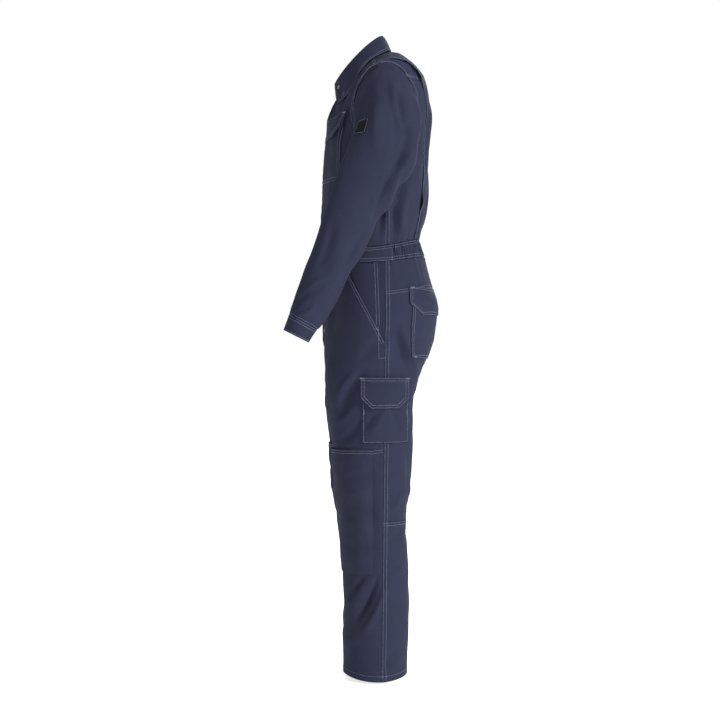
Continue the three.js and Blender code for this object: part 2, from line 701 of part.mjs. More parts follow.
const hipRows = upperRows.filter((t) => t < 4.2);
const hipGrid = panel(legAt, -1, hipRows, 4, (t) => [frontEdge(t) - 3, legSeam(t, -1)]);
addPair("hip_pocket_facing", wall(hipGrid, -2 * cloth - 1.8, -cloth - 1.8));

const seatYokeGrid = panel(legAt, -1, [0, 0.5, hipSeamSection - 0.003], panelColumns,
  (t) => [legSeam(t, 1), innerBack(t)]);
addPair("seat_yoke", wall(seatYokeGrid, -cloth, 0));

const backUpperRows = [hipSeamSection + 0.003, ...upperRows.filter((t) => t > 1.1 && t < kneeSeamSection),
  kneeSeamSection - 0.002];
const trouserBackGrid = panel(legAt, -1, backUpperRows, panelColumns, (t) => [legSeam(t, 1), innerBack(t)]);
addPair("trouser_back", wall(trouserBackGrid, -cloth, 0), legAhead);

const calfGrid = panel(legAt, -1, [kneeSeamSection + 0.002, ...lowerRows.slice(1)], panelColumns,
  (t) => [legSeam(t, 1), innerBack(t)]);
addPair("lower_leg_back", wall(calfGrid, -cloth, 0), legAhead);

// Pockets on the seat, seen from behind (x, z).
const seatPocket = { inner: 52, outer: 181, top: -592, bottom: -746, corner: 6 };
const seatFlap = { inner: 49, outer: 185, top: -576, bottom: -642, corner: 24 };
const seatGrid = trouserBackGrid.slice(0, 12);
addPair("seat_pocket",
  cutOut(wall(seatGrid, firstLayer, firstLayer + cloth), patternBlock("back", chamfered(seatPocket), 5, 240)));
addPair("seat_flap",
  cutOut(wall(standOff(seatGrid, seatFlap, 2), secondLayer, secondLayer + cloth),
    patternBlock("back", chamfered(seatFlap), 5, 240)));

// Thigh pocket and knee pocket, seen from the side (y, z). They lie across the side seam.
const ringEdges = (t) => [innerFront(t), legSeam(t, 0)];
const legFrontHalf = panel(legAt, -1, legRows, panelColumns, ringEdges);
const legBackHalf = panel(legAt, -1, legRows, panelColumns, (t) => [legSeam(t, 0), innerBack(t)]);
const legGrid = legRows.map((_, i) => [...legFrontHalf[i], ...legBackHalf[i].slice(1)]);
const rowsFrom = (grid, low, high) => grid.filter((_, i) => legRows[i] >= low && legRows[i] <= high);

const thighPocket = { inner: -34, outer: 74, top: -806, bottom: -945, corner: 3 };
const thighFlap = { inner: -38, outer: 76, top: -791, bottom: -864, corner: 24 };
addPair("thigh_pocket",
  cutOut(wall(rowsFrom(legGrid, 7.5, 10), firstLayer, firstLayer + cloth + 0.6),
    patternBlock("side", chamfered(thighPocket), 110, 260)), legAhead);
addPair("thigh_flap",
  cutOut(wall(standOff(rowsFrom(legGrid, 7.5, 10), thighFlap, 1.5), secondLayer + 0.6, secondLayer + 0.6 + cloth),
    patternBlock("side", chamfered(thighFlap), 110, 260)), legAhead);

const kneePocket = [[-200, -956], [-96, -961], [-28, -968], [12, -963], [12, -986], [-9, -988],
  [-9, -1252], [-200, -1256]];
addPair("knee_pocket",
  cutOut(wall(rowsFrom(legFrontHalf, 10, 14), firstLayer, firstLayer + cloth + 0.6),
    patternBlock("side", kneePocket, 1, 260)), legAhead);

// Placket over the front opening, from the neck seam to the top of the crotch seam.
const placketX = [placketRight, placketRight / 2, 0, placketLeft / 2, placketLeft];

function placketRow(section, facing, surface, t) {
  return placketX.map((x) => {
    const angle = -reachToX(section, Math.max(Math.abs(x), 0.5), section.powerFront);
    const node = clothNode(surface, angle, t, facing);
    if (x <= 0) {
      node.point.x = x === 0 ? 0 : -node.point.x;
      node.out.x = x === 0 ? 0 : -node.out.x;
    }
    return node;
  });
}

const placketBodyRows = bodyRows.filter((t) => t <= 9.3).reverse();
placketBodyRows.unshift(9.75);
const placketGrid = [
  ...placketBodyRows.map((t) => placketRow(between(bodySections, t), 1, bodyAt, t)),
  placketRow(bandSection(0.5), -1, bandAt, 0.5),
  ...upperRows.filter((t) => t <= placketEnd).map((t) => placketRow(between(legSections, t), -1, legAt, t)),
];
add("front_placket", wall(placketGrid, firstLayer + 0.5, firstLayer + 0.5 + doubled));

export default suit;
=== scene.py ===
"""Looks of the boiler suit: shells of twill with folds, gathers, seams and stitches.

The cloth functions work in millimetres, and every mesh is made in metres.
+X is the wearer's left, -Y the front and +Z up.
"""

import math

import bpy
import numpy as np
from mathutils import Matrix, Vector
from mathutils.bvhtree import BVHTree


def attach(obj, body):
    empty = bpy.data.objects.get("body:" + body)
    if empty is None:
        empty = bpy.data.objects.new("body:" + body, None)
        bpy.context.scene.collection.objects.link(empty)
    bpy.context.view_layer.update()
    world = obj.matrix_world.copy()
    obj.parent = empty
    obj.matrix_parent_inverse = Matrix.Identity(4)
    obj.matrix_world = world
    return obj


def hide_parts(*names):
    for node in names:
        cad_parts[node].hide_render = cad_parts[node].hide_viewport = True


bl_info = {
    "name": "Boiler suit",
    "version": (1, 0, 0),
    "blender": (4, 5, 0),
    "location": "3D View > Sidebar > Boiler suit",
    "description": "Dresses the boiler suit's CAD solids in twill",
    "category": "Object",
}

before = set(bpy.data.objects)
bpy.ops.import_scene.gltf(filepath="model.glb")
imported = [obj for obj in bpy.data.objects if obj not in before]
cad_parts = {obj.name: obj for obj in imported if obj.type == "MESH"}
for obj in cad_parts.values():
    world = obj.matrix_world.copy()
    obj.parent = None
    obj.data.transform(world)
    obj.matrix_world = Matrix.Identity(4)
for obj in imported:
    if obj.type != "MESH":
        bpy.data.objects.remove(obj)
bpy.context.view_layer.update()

MM = 0.001
CLOTH = 1.5  # wall of one layer
DOUBLED = 2.5  # wall of a faced or folded piece
LAYER = 1.9  # from one layer's outer face to the next one's

# Sections of the body, from the waist up. Columns: z at the front, side and back, middle x, half width,
# y at the front and back, roundness of the front and the back, and y of the side or shoulder seam.
BODY = np.array([
    [-472, -482, -452, 0, 180, -122, 105, 2.2, 2.2, 20],
    [-430, -435, -418, 0, 188, -131, 113, 2.2, 2.2, 20],
    [-365, -362, -358, 0, 196, -132, 122, 2.2, 2.2, 20],
    [-300, -292, -290, 0, 204, -131, 129, 2.2, 2.2, 20],
    [-240, -225, -222, 0, 210, -127, 133, 2.1, 2.2, 17],
    [-192, -160, -152, 0, 211, -121, 134, 2.0, 2.2, 13],
    [-156, -105, -96, 0, 208, -120, 130, 1.9, 2.1, 8],
    [-132, -54, -56, 0, 200, -112, 121, 1.8, 2.0, 3],
    [-118, -40, -22, 0, 142, -106, 98, 1.8, 2.0, 0],
    [-107, -32, 7, 0, 104, -100, 65, 1.9, 2.0, -3],
    [-98, -28, 15, 0, 72, -93, 36, 2.0, 2.0, -5]], float)
ARMPIT, SHOULDER_TIP, PLEAT_TOP, NECK = 3.0, 7.0, 7.5, 10.0

# Sections of the hips and the left leg, from the waist down, in the same columns.
LEG = np.array([
    [-508, -519, -496, 0, 184, -124, 119, 2.2, 2.2, 20],
    [-584, -589, -563, 2, 200, -129, 138, 2.2, 2.2, 20],
    [-625, -625, -618, 6, 199, -130, 149, 2.2, 2.2, 20],
    [-665, -665, -662, 20, 184, -130, 145, 2.2, 2.2, 20],
    [-700, -700, -700, 40, 163, -130, 138, 2.1, 2.1, 19],
    [-730, -730, -730, 64, 139, -128, 128, 2.1, 2.1, 19],
    [-752, -752, -752, 84, 118.5, -126, 119, 2.1, 2.1, 18],
    [-768, -768, -768, 100.6, 100.3, -125, 111, 2.1, 2.1, 18],
    [-800, -800, -800, 103.5, 97, -127, 102, 2.1, 2.1, 18],
    [-870, -870, -870, 103.5, 95, -122, 87, 2.1, 2.1, 18],
    [-950, -950, -950, 104.5, 91, -107, 88, 2.1, 2.1, 17],
    [-1050, -1050, -1050, 105.5, 87.5, -97, 82, 2.1, 2.1, 16],
    [-1133, -1132, -1133, 106.5, 84, -88, 72.5, 2.1, 2.1, 15],
    [-1230, -1230, -1230, 108, 81, -82, 75, 2.1, 2.1, 14],
    [-1340, -1340, -1340, 109.5, 79, -79.5, 79, 2.1, 2.1, 13],
    [-1440, -1440, -1440, 110, 78, -81, 76, 2.1, 2.1, 12],
    [-1500, -1509, -1502, 110, 77, -79, 73, 2.1, 2.1, 12]], float)
HIP_SEAM, CROTCH, KNEE_SEAM, HEM = 1.0, 7.0, 12.0, 16.0

# Rings round the left arm, down to the cuff's end. Columns: x, y and z of the ring's middle,
# its half width along the arm's swing, and across it.
ARM = np.array([
    [253, -15, -322, 71, 47],
    [258, -46, -382, 65, 46],
    [262, -70, -440, 58, 46],
    [264, -93, -497, 53.5, 45],
    [263, -119, -555, 50, 44],
    [261, -144, -612, 46.5, 43],
    [259, -162, -648, 41.5, 42],
    [258, -170, -661.5, 36.5, 40],
    [257, -178, -677, 34, 39],
    [256, -187, -695, 32, 38]], float)
WRIST, CUFF_END = 7.0, 9.0
# Directions of the upper arm and of the forearm.
UPPER_ARM = np.array([0.03, -0.42, -0.907])
FOREARM = np.array([0, -0.42, -0.907])

ARMHOLE_FORWARD, ARMHOLE_BACKWARD = 68.0, 85.0  # reach of the armhole from the shoulder seam's plane
ARMHOLE_MIDDLE = np.array([190.0, 12.0, -172.0])
PLEAT_ANGLE, PLEAT_WAIST_ANGLE, PLEAT_UNDERLAP = 62.5, 57.0, 8.0  # degrees round the body
PLEAT_BEND = 5.0  # section above which the pleat curves towards the shoulder
SLEEVE_REAR_FULLNESS = 45.0
BACK_YOKE = 6.3  # section of the seam below the shoulder yoke
ELASTIC_START = 38.0  # y where the waistband's elastic begins
GATHERS = 34  # folds of the gathered waistband
CENTRE_GAP = 0.15  # from the middle plane to the panels' centre edges
ACROSS_GAP, KNEE_GAP = 0.003, 0.002  # from a seam across to each panel, in sections
TUCK = 1.8  # how far a sleeve's top reaches in under the panels round it
HEM_Z = -1507.0
# Rough length of one section along a seam, a little different in each so that puckers do not match.
FRONT_RUN, SIDE_RUN, BACK_RUN = 60.0, 57.0, 62.0
POCKET_MOUTH = {"y_top": -80.0, "z_top": -522.0, "z_bottom": -712.0}
KNEE_POCKET_ROWS = (10.12, 13.235)  # sections of its top and bottom
KNEE_POCKET_BACK = -9.0  # y of its back edge

CREASE_DEPTH = 1.6  # factor on the depths of the finer creases
CREASE_BEND = 0.05  # how far a crease bows, as a share of its length
CREASE_STEEP, CREASE_FLAT = 0.62, 1.15  # factors on the width of its two sides
BODY_WAVES, LEG_WAVES, POCKET_WAVES, SLEEVE_WAVES = 7, 11, 17, 31  # shifts of the low waves

PAIR = [2, 8]  # distances of two rows of stitches from an edge
FELLED_PAIR = [1.5, 9]
STITCH_PITCH, STITCH_FILL, BAR_TACK_PITCH = 0.0033, 0.86, 0.0011
THREAD_WIDTH, THREAD_FLATNESS = 0.0009, 0.75
STITCH_SEED = 4
STITCH_LIFT, BAR_TACK_LIFT = 0.25, 0.45  # above the cloth
TWILL_SCALE, LABEL_SCALE = 0.62, 0.45  # for ribs 0.72 and 0.70 mm apart

CAMERA_LENS, CAMERA_FORWARD, CAMERA_HEIGHT = 64, -0.04, -0.75

# Height, and how far the right leg stands ahead of the left one there.
RIGHT_LEG_AHEAD = np.array([
    [-768, 0], [-800, 2], [-870, 7], [-950, 13], [-1050, 14],
    [-1133, 12], [-1230, 4], [-1340, 2], [-1600, 2]], float)

# The largest folds, as on the solids: the view that shows the fold, its two ends (y or x, then z),
# its width and its depth, negative for a trough.
MAIN_FOLDS = [
    ("front", 84, -40, 112, -185, 44, -21),
    ("side", -12, -75, -62, -260, 14, -9),
    ("side", -62, -150, -98, -400, 16, 3),
    ("side", 84, -170, 22, -395, 17, -6),
    ("side", 60, -250, -20, -470, 14, 4),
    ("side", -100, -500, -135, -600, 14, -2.5),
    ("side", 45, -300, 80, -450, 16, -4),
    ("side", -60, -800, -85, -950, 20, -4),
    ("side", 40, -700, 60, -790, 16, -3.5),
    ("side", -14, -985, -6, -1240, 11, -3.5),
    ("side", -8, -1290, -62, -1395, 13, -5),
    ("side", -30, -1270, -78, -1370, 13, 3),
    ("back", 70, -700, 30, -760, 16, -4),
    ("front", 84, -640, 60, -725, 13, -4),
    ("front", 110, -340, 60, -450, 20, -4),
    ("back", 60, -330, 80, -440, 16, -3.5),
]

# Finer creases, placed from the photograph on the side that it shows, and alike elsewhere.
BODY_FOLDS = [
    ("side", 92, -285, 34, -452, 9, -6.6),
    ("side", 74, -345, 58, -470, 8, 5),
    ("side", 42, -376, 36, -474, 7, -5.3),
    ("side", 100, -270, 88, -440, 9, 4.8),
    ("side", 26, -350, 6, -462, 9, -5),
    ("side", 100, -120, 104, -290, 10, -5.4),
    ("side", 8, -330, 24, -452, 8, 4.1),
    ("side", -70, -190, -84, -330, 14, -4.8),
    ("side", -90, -340, -104, -470, 13, 3.6),
    ("front", 150, -290, 120, -410, 12, -4.6),
    ("front", 96, -340, 110, -466, 11, 3.6),
    ("front", 70, -380, 80, -470, 9, -4),
    ("front", 40, -340, 34, -464, 11, 3.4),
    ("front", 34, -110, 60, -160, 12, -3),
    ("back", 30, -150, 44, -330, 20, -4.6),
    ("back", 84, -140, 96, -300, 13, -4.4),
    ("back", 62, -120, 70, -260, 14, 3.6),
    ("back", 12, -280, 26, -440, 13, 4),
    ("back", 48, -330, 56, -450, 10, -4.4),
    ("back", 84, -320, 76, -452, 11, 4),
]
LEG_FOLDS = [
    ("side", -26, -770, -94, -884, 11, -6),
    ("side", -50, -776, -108, -862, 10, 4.2),
    ("side", -32, -884, -94, -948, 10, -5),
    ("side", -50, -852, -100, -905, 10, 3.6),
    ("side", 42, -676, 84, -790, 10, -5.5),
    ("side", 56, -668, 98, -768, 9, 4),
    ("side", 118, -746, 76, -858, 10, -6.5),
    ("side", 104, -800, 84, -925, 12, 4),
    ("side", -92, -560, -112, -700, 15, -4),
    ("side", 20, -690, -40, -752, 14, -3.2),
    ("side", 70, -960, 74, -1060, 11, -4),
    ("side", 66, -1050, 30, -1110, 10, 3),
    ("side", 4, -978, -70, -966, 12, 2),
    ("side", -6, -1018, -72, -1030, 11, -2),
    ("side", -6, -1052, -72, -1062, 12, 2.2),
    ("side", -8, -1100, -72, -1092, 11, -2.4),
    ("side", -8, -1146, -70, -1130, 11, 2.3),
    ("side", -10, -1196, -68, -1186, 11, -2),
    ("side", 2, -1256, -54, -1368, 6, -6.5),
    ("side", 18, -1280, -36, -1396, 9, 5),
    ("side", -24, -1252, -66, -1316, 7, -4.5),
    ("side", 70, -1150, 26, -1180, 13, -2.6),
    ("side", 66, -1236, 24, -1262, 12, 2.6),
    ("side", 30, -1330, 70, -1384, 14, -3),
    ("side", -52, -1400, -76, -1440, 12, 3.4),
    ("side", 50, -1430, 16, -1476, 12, -2.8),
    ("back", 150, -750, 86, -800, 11, -2.0),
    ("back", 160, -780, 80, -835, 11, 1.4),
    ("back", 60, -790, 120, -856, 12, -1.7),
    ("back", 70, -850, 130, -905, 14, 1.2),
    ("back", 140, -1070, 74, -1118, 10, -1.9),
    ("back", 84, -1054, 150, -1094, 10, 1.4),
    ("back", 76, -1148, 146, -1192, 11, -1.7),
    ("back", 90, -1240, 140, -1330, 16, -1.1),
    ("back", 120, -960, 90, -1040, 13, 1.1),
    ("front", 50, -770, 120, -850, 14, -2.0),
    ("front", 60, -810, 140, -880, 13, 1.4),
    ("front", 150, -800, 100, -860, 13, 1.4),
    ("front", 70, -1020, 150, -1044, 13, -1.5),
    ("front", 64, -1068, 140, -1090, 12, 1.4),
    ("front", 150, -1120, 70, -1152, 12, -1.7),
    ("front", 66, -1290, 140, -1360, 14, -1.7),
    ("front", 140, -1380, 84, -1420, 14, 1.3),
    ("front", 30, -560, 90, -640, 14, 1.2),
    ("front", 130, -540, 110, -640, 14, -1.3),
]
SLEEVE_FOLDS = [
    ("side", 50, -108, 74, -228, 9, -8.4),
    ("side", 34, -96, 52, -216, 10, 5.3),
    ("side", 90, -130, 96, -240, 8, 4.8),
    ("side", 78, -196, 42, -330, 9, -8.4),
    ("side", 68, -270, -14, -448, 9, -8.4),
    ("side", 88, -260, 10, -430, 8, 4.8),
    ("side", 36, -150, 30, -300, 12, -4.3),
    ("side", 44, -300, -6, -410, 9, 4.1),
    ("side", 8, -130, -4, -280, 15, 3.8),
    ("side", -34, -470, -84, -576, 10, -5),
    ("side", -14, -430, -66, -540, 11, 4.3),
    ("side", -100, -430, -140, -550, 13, -4.3),
    ("side", -120, -580, -190, -618, 9, -4.3),
    ("side", -104, -556, -170, -600, 9, 3.6),
    ("side", -142, -628, -186, -652, 7, 3.1),
]


class Shell:
    """A grid of cloth: outer points and unit normals in millimetres, and flat cloth coordinates."""

    def __init__(self, points, hint, tube=False):
        self.points = points
        self.tube = tube
        self.normals = grid_normals(points, hint, tube)
        self.flat = flat_coordinates(points, tube)

    def lifted(self, amount):
        """The same grid moved out by an amount in millimetres."""
        amount = np.asarray(amount, float)
        if amount.ndim:
            amount = amount[..., None]
        return Shell(self.points + self.normals * amount, self.normals, self.tube)

    def mirrored(self, moved=None):
        """The grid on the wearer's right side, moved ahead as the right limb is."""
        points = self.points * (-1, 1, 1)
        if moved is not None:
            points = points + moved(points[..., 2])
        return Shell(points[:, ::-1], (self.normals * (-1, 1, 1))[:, ::-1], self.tube)

    def area(self):
        """Area of the outer face in square metres."""
        p = self.points
        if self.tube:
            p = np.concatenate([p, p[:, :1]], axis=1)
        side = np.cross(p[1:, :-1] - p[:-1, :-1], p[:-1, 1:] - p[:-1, :-1])
        other = np.cross(p[1:, :-1] - p[1:, 1:], p[:-1, 1:] - p[1:, 1:])
        both = np.linalg.norm(side, axis=-1) + np.linalg.norm(other, axis=-1)
        return both.sum() / 2 * MM * MM


def smooth(x):
    """From 0 to 1 with soft ends."""
    x = np.clip(x, 0, 1)
    return x * x * (3 - 2 * x)


def ridge(distance, middle, width):
    """A rounded ridge at one distance, 1 high."""
    return np.exp(-(((distance - middle) / width) ** 2))


def grid_normals(points, hint, tube):
    """Unit normals of a grid, on the side that the hint points to."""
    if tube:
        along_row = np.roll(points, -1, axis=1) - np.roll(points, 1, axis=1)
    else:
        along_row = np.gradient(points, axis=1)
    out = np.cross(along_row, np.gradient(points, axis=0))
    length = np.linalg.norm(out, axis=-1, keepdims=True)
    hint = hint / np.maximum(np.linalg.norm(hint, axis=-1, keepdims=True), 1e-9)
    out = np.where(length > 1e-9, out / np.maximum(length, 1e-9), hint)
    if (out * hint).sum() < 0:
        out = -out
    return np.where((out * hint).sum(-1, keepdims=True) < -0.2, hint, out)


def flat_coordinates(points, tube):
    """Distance in metres along the rows and down the middle column."""
    if tube:
        points = np.concatenate([points, points[:, :1]], axis=1)
    step = np.linalg.norm(np.diff(points, axis=1), axis=-1)
    along = np.concatenate([np.zeros((len(points), 1)), np.cumsum(step, axis=1)], axis=1)
    middle = along.shape[1] // 2
    along = along - along[:, middle:middle + 1]
    drop = np.linalg.norm(np.diff(points[:, middle], axis=0), axis=-1)
    down = np.concatenate([[0], np.cumsum(drop)])
    return np.stack([along, np.broadcast_to(-down[:, None], along.shape)], -1) * MM


def between(rows, t):
    """Table rows at fractional positions, as on the solids."""
    t = np.asarray(t, float)
    at = np.clip(np.floor(t).astype(int), 0, len(rows) - 2)
    f = (t - at)[..., None]
    p, q, r, s = (rows[np.clip(at + k, 0, len(rows) - 1)] for k in (-1, 0, 1, 2))
    straight = q * (1 - f) + r * f
    curve = 0.5 * (2 * q + (r - p) * f + (2 * p - 5 * q + 4 * r - s) * f**2 + (3 * q - p - 3 * r + s) * f**3)
    return (straight + curve) / 2


def on_section(section, angle):
    """Points at angles round a section, from the wearer's left (0) to the back (90) or the front (-90)."""
    (z_front, z_side, z_back, x_middle, half_width, y_front, y_back, power_front, power_back,
     _) = np.moveaxis(section, -1, 0)
    c, n = np.cos(np.radians(angle)), np.sin(np.radians(angle))
    power = np.where(n < 0, power_front, power_back)
    along = np.sign(n) * np.abs(n) ** (2 / power)
    tilt = (z_back - z_front) / 2
    crown = (z_back + z_front) / 2 - z_side
    return np.stack([
        x_middle + half_width * np.sign(c) * np.abs(c) ** (2 / power),
        y_front + (y_back - y_front) / 2 * (1 + along),
        z_side + tilt * along + crown * along**2], -1)


def angle_at_y(section, y):
    """Angle on the left half of a section where it passes y."""
    y_front, y_back = section[..., 5], section[..., 6]
    along = (y - y_front) / ((y_back - y_front) / 2) - 1
    power = np.where(along < 0, section[..., 7], section[..., 8])
    return np.degrees(np.arcsin(np.sign(along) * np.minimum(1, np.abs(along)) ** (power / 2)))


def reach_to_x(section, x, power):
    """Size of the angle where a section passes x."""
    across = (x - section[..., 3]) / section[..., 4]
    return np.degrees(np.arccos(np.sign(across) * np.minimum(1, np.abs(across)) ** (power / 2)))


def base_nodes(rows, facing, angle, t):
    """Points and outward directions of the plain surface, before folds.

    Facing is 1 where the sections run upwards and -1 where they run downwards.
    """
    def at(a, b):
        return on_section(between(rows, b), a)

    round_body = at(angle + 0.4, t) - at(angle - 0.4, t)
    out = np.cross(round_body, at(angle, t + 0.02) - at(angle, t - 0.02)) * facing
    return at(angle, t), out / np.maximum(np.linalg.norm(out, axis=-1, keepdims=True), 1e-9)


def turned_towards(points):
    """How far each point faces the side, the front and the back, from 0 to 1."""
    x, y = np.abs(points[..., 0]), points[..., 1]
    return {
        "side": smooth((x - 90) / 50),
        "front": smooth((-y - 15) / 30),
        "back": smooth((y - 15) / 30),
    }


def beside_fold(points, fold):
    """Share of the way along a fold, distance from its line, and its length, in the view that shows it."""
    view, a, z_a, b, z_b = fold[:5]
    across = points[..., 1] if view == "side" else np.abs(points[..., 0])
    run = np.array([b - a, z_b - z_a], float)
    length = np.linalg.norm(run)
    share = ((across - a) * run[0] + (points[..., 2] - z_a) * run[1]) / length**2
    off = ((across - a) * run[1] - (points[..., 2] - z_a) * run[0]) / length
    return share, off, length


def fold_depth(points, folds):
    """Large folds, even on both sides."""
    turned = turned_towards(points)
    depth = np.zeros(points.shape[:-1])
    for fold in folds:
        view, width, amount = fold[0], fold[5], fold[6]
        share, off, _ = beside_fold(points, fold)
        height = amount * turned[view] * np.sin(np.pi * np.clip(share, 0, 1)) * ridge(off, 0, width)
        depth += np.where((share > 0) & (share < 1), height, 0)
    return depth


def crease_depth(points, creases):
    """Creases that bow a little, each steeper on one of its sides."""
    turned = turned_towards(points)
    depth = np.zeros(points.shape[:-1])
    for number, crease in enumerate(creases):
        view, width, amount = crease[0], crease[5], crease[6]
        share, off, length = beside_fold(points, crease)
        bow = CREASE_BEND if number // 2 % 2 else -CREASE_BEND
        off = off + bow * length * np.sin(np.pi * share)
        spread = np.where(off > 0, width * CREASE_STEEP, width * CREASE_FLAT)
        ends = np.sin(np.pi * np.clip(share, 0, 1)) ** 0.7
        height = CREASE_DEPTH * amount * turned[view] * ends * ridge(off, 0, spread)
        depth += np.where((share > 0) & (share < 1), height, 0)
    return depth


def cloth_depth(points, creases):
    return fold_depth(points, MAIN_FOLDS) + crease_depth(points, creases)


def slackness(points, seed):
    """Low, irregular waves of cloth that hangs free."""
    x, y, z = points[..., 0] + seed, points[..., 1] - 2 * seed, points[..., 2] + 3 * seed
    waves = np.sin(x / 31 + 0.8 * np.sin(z / 67)) * np.sin(z / 43 + y / 29)
    ripples = np.sin(y / 13 + z / 37 + 1.3 * np.sin(x / 23)) * np.sin(z / 19 - x / 41)
    return 1.2 * waves + 0.5 * ripples


def places(total, margins):
    """Distances of the close points at the left and right ends of a row of cloth."""
    left, right = (np.asarray(m, float) for m in margins)
    scale = min(1.0, 0.7 * total / (left[-1] + right[-1] + 1e-6))
    return left * scale, total - right[::-1] * scale


# Distances of the close points at a stitched seam and at a plain edge.
SEAM = [0, 0.9, 2, 4.5, 7.5, 9.2, 10.6, 13]
EDGE = [0, 1.2, 3, 6]


def strip(rows, t, edges, margins):
    """Angles of a panel's nodes, spaced evenly over the cloth, and their distances from its sides."""
    t = np.asarray(t, float)
    first, last = edges(t)
    fine = np.linspace(0, 1, 201)
    dense = first[:, None] + (last - first)[:, None] * fine
    points = on_section(between(rows, t)[:, None, :], dense)
    step = np.linalg.norm(np.diff(points, axis=1), axis=-1)
    length = np.concatenate([np.zeros((len(t), 1)), np.cumsum(step, axis=1)], axis=1)
    middle = max(3, int(round(length[:, -1].max() / cell())))
    angle, place = [], []
    for i, total in enumerate(length[:, -1]):
        left, right = places(total, margins)
        along = np.concatenate([left, np.linspace(left[-1], right[0], middle)[1:-1], right])
        place.append(along)
        angle.append(np.interp(along, length[i], dense[i]))
    angle, place = np.array(angle), np.array(place)
    return angle, np.broadcast_to(t[:, None], angle.shape), place, length[:, -1:] - place


def rows_along(rows, start, stop, at_angle=0.0, fine=()):
    """Section numbers spaced evenly down the cloth, with extra ones where asked."""
    dense = np.linspace(start, stop, 400)
    points = on_section(between(rows, dense), np.full(400, at_angle))
    length = np.concatenate([[0], np.cumsum(np.linalg.norm(np.diff(points, axis=0), axis=-1))])
    count = max(2, int(round(length[-1] / cell())) + 1)
    close = np.array([1.2, 3, 8, 10.5])
    even = np.linspace(0, length[-1], count)
    spaced = np.interp(np.concatenate([even, close, length[-1] - close]), length, dense)
    wanted = np.unique(np.concatenate([spaced, np.asarray(fine, float)]))
    wanted = wanted[(wanted >= min(start, stop)) & (wanted <= max(start, stop))]
    apart = [wanted[0]]
    for value in wanted[1:]:
        if value - apart[-1] > 0.004:
            apart.append(value)
    apart[-1] = wanted[-1]
    return np.array(apart)


def from_edge(points, axis):
    """Distance of every node from the first row (axis 0) or column (axis 1)."""
    step = np.linalg.norm(np.diff(points, axis=axis), axis=-1)
    start = np.zeros_like(np.take(step, [0], axis=axis))
    return np.concatenate([start, np.cumsum(step, axis=axis)], axis=axis)


def to_edge(points, axis):
    """Distance of every node from the last row (axis 0) or column (axis 1)."""
    return np.flip(from_edge(np.flip(points, axis), axis), axis)


def felled(distance, along, height=0.9, width=9.5):
    """A seam folded over and stitched twice, drawn up a little between its stitches."""
    band = smooth((width + 1.6 - distance) / 1.8)
    draw = np.sin(along / 1.45 + 1.9 * np.sin(along / 9.7)) * ridge(distance, 5, 6.5)
    groove = ridge(distance, 2, 0.9) + ridge(distance, 8, 0.9)
    return height * band + 0.22 * draw - 0.28 * groove


def drawn(distance, along, strength=0.5):
    """Cloth drawn into short puckers beside a seam."""
    wave = np.sin(along / 2.6 + 2.2 * np.sin(along / 17)) * (0.6 + 0.4 * np.sin(along / 31))
    return 1.5 * strength * wave * ridge(distance, 0, 9)


# Sections of the armhole, closer together towards its top and bottom.
SPLIT_ROWS = ARMPIT + (SHOULDER_TIP - ARMPIT) * (1 - np.cos(np.pi * np.linspace(0, 1, 61))) / 2


def body_rows(start=0.0, stop=NECK):
    """Section numbers up the body, the same in every panel beside an armhole."""
    low = rows_along(BODY, 0.0, ARMPIT)
    high = rows_along(BODY, SHOULDER_TIP, NECK, fine=[PLEAT_TOP])
    every = np.unique(np.concatenate([low, SPLIT_ROWS, high]))
    inner = every[(every > start + 0.01) & (every < stop - 0.01)]
    return np.concatenate([[start], inner, [stop]])


def cell():
    """Distance between the points of the cloth in millimetres."""
    return bpy.context.scene.boiler_suit_cloth.cell / MM


def panel_edge(t, reach):
    """Angle of the side and shoulder seam, which swings out by a reach round the armhole."""
    section = between(BODY, t)
    share = np.clip((t - ARMPIT) / (SHOULDER_TIP - ARMPIT), 0, 1)
    y = section[..., 9] + np.sign(reach) * 0.1 + reach * np.sqrt(np.maximum(0, 1 - (2 * share - 1) ** 2))
    return angle_at_y(section, y)


def pleat_edge(t):
    """Angle of the back panel's folded edge, and above the pleat that of the shoulder seam."""
    seam = panel_edge(t, 1e-6)
    low = PLEAT_WAIST_ANGLE + (PLEAT_ANGLE - PLEAT_WAIST_ANGLE) * t / PLEAT_BEND
    up = (t - PLEAT_BEND) / (PLEAT_TOP - PLEAT_BEND)
    high = seam + (PLEAT_ANGLE - seam) * np.sqrt(np.maximum(0, 1 - up**2))
    return np.where(t >= PLEAT_TOP, seam, np.where(t <= PLEAT_BEND, low, high))


def centre_front(rows, t):
    """Angle of the left front's edge at the middle plane."""
    section = between(rows, t)
    return -reach_to_x(section, CENTRE_GAP, section[..., 7])


def ripples(angle, distance, reach=46.0, start=5.0):
    """Soft pleats that run out of the gathered waistband into the cloth beside it."""
    turn = np.abs(angle - start)
    behind = smooth((angle - start) / 12)
    wave = np.sin(turn * 0.62) + 0.6 * np.sin(turn * 1.07 + 1.1) + 0.4 * np.sin(turn * 0.29 + 2)
    return behind * 1.5 * wave * np.exp(-distance / reach)


# Finished grids by piece, and lines to stitch by group.
store = {}
stitch_lines = {}


def keep(name, shell):
    store[name] = shell


def stitch(group, points, normals, lift=STITCH_LIFT):
    """Notes a line for stitches, a little above the cloth."""
    stitch_lines.setdefault(group, []).append((points + normals * lift, normals))


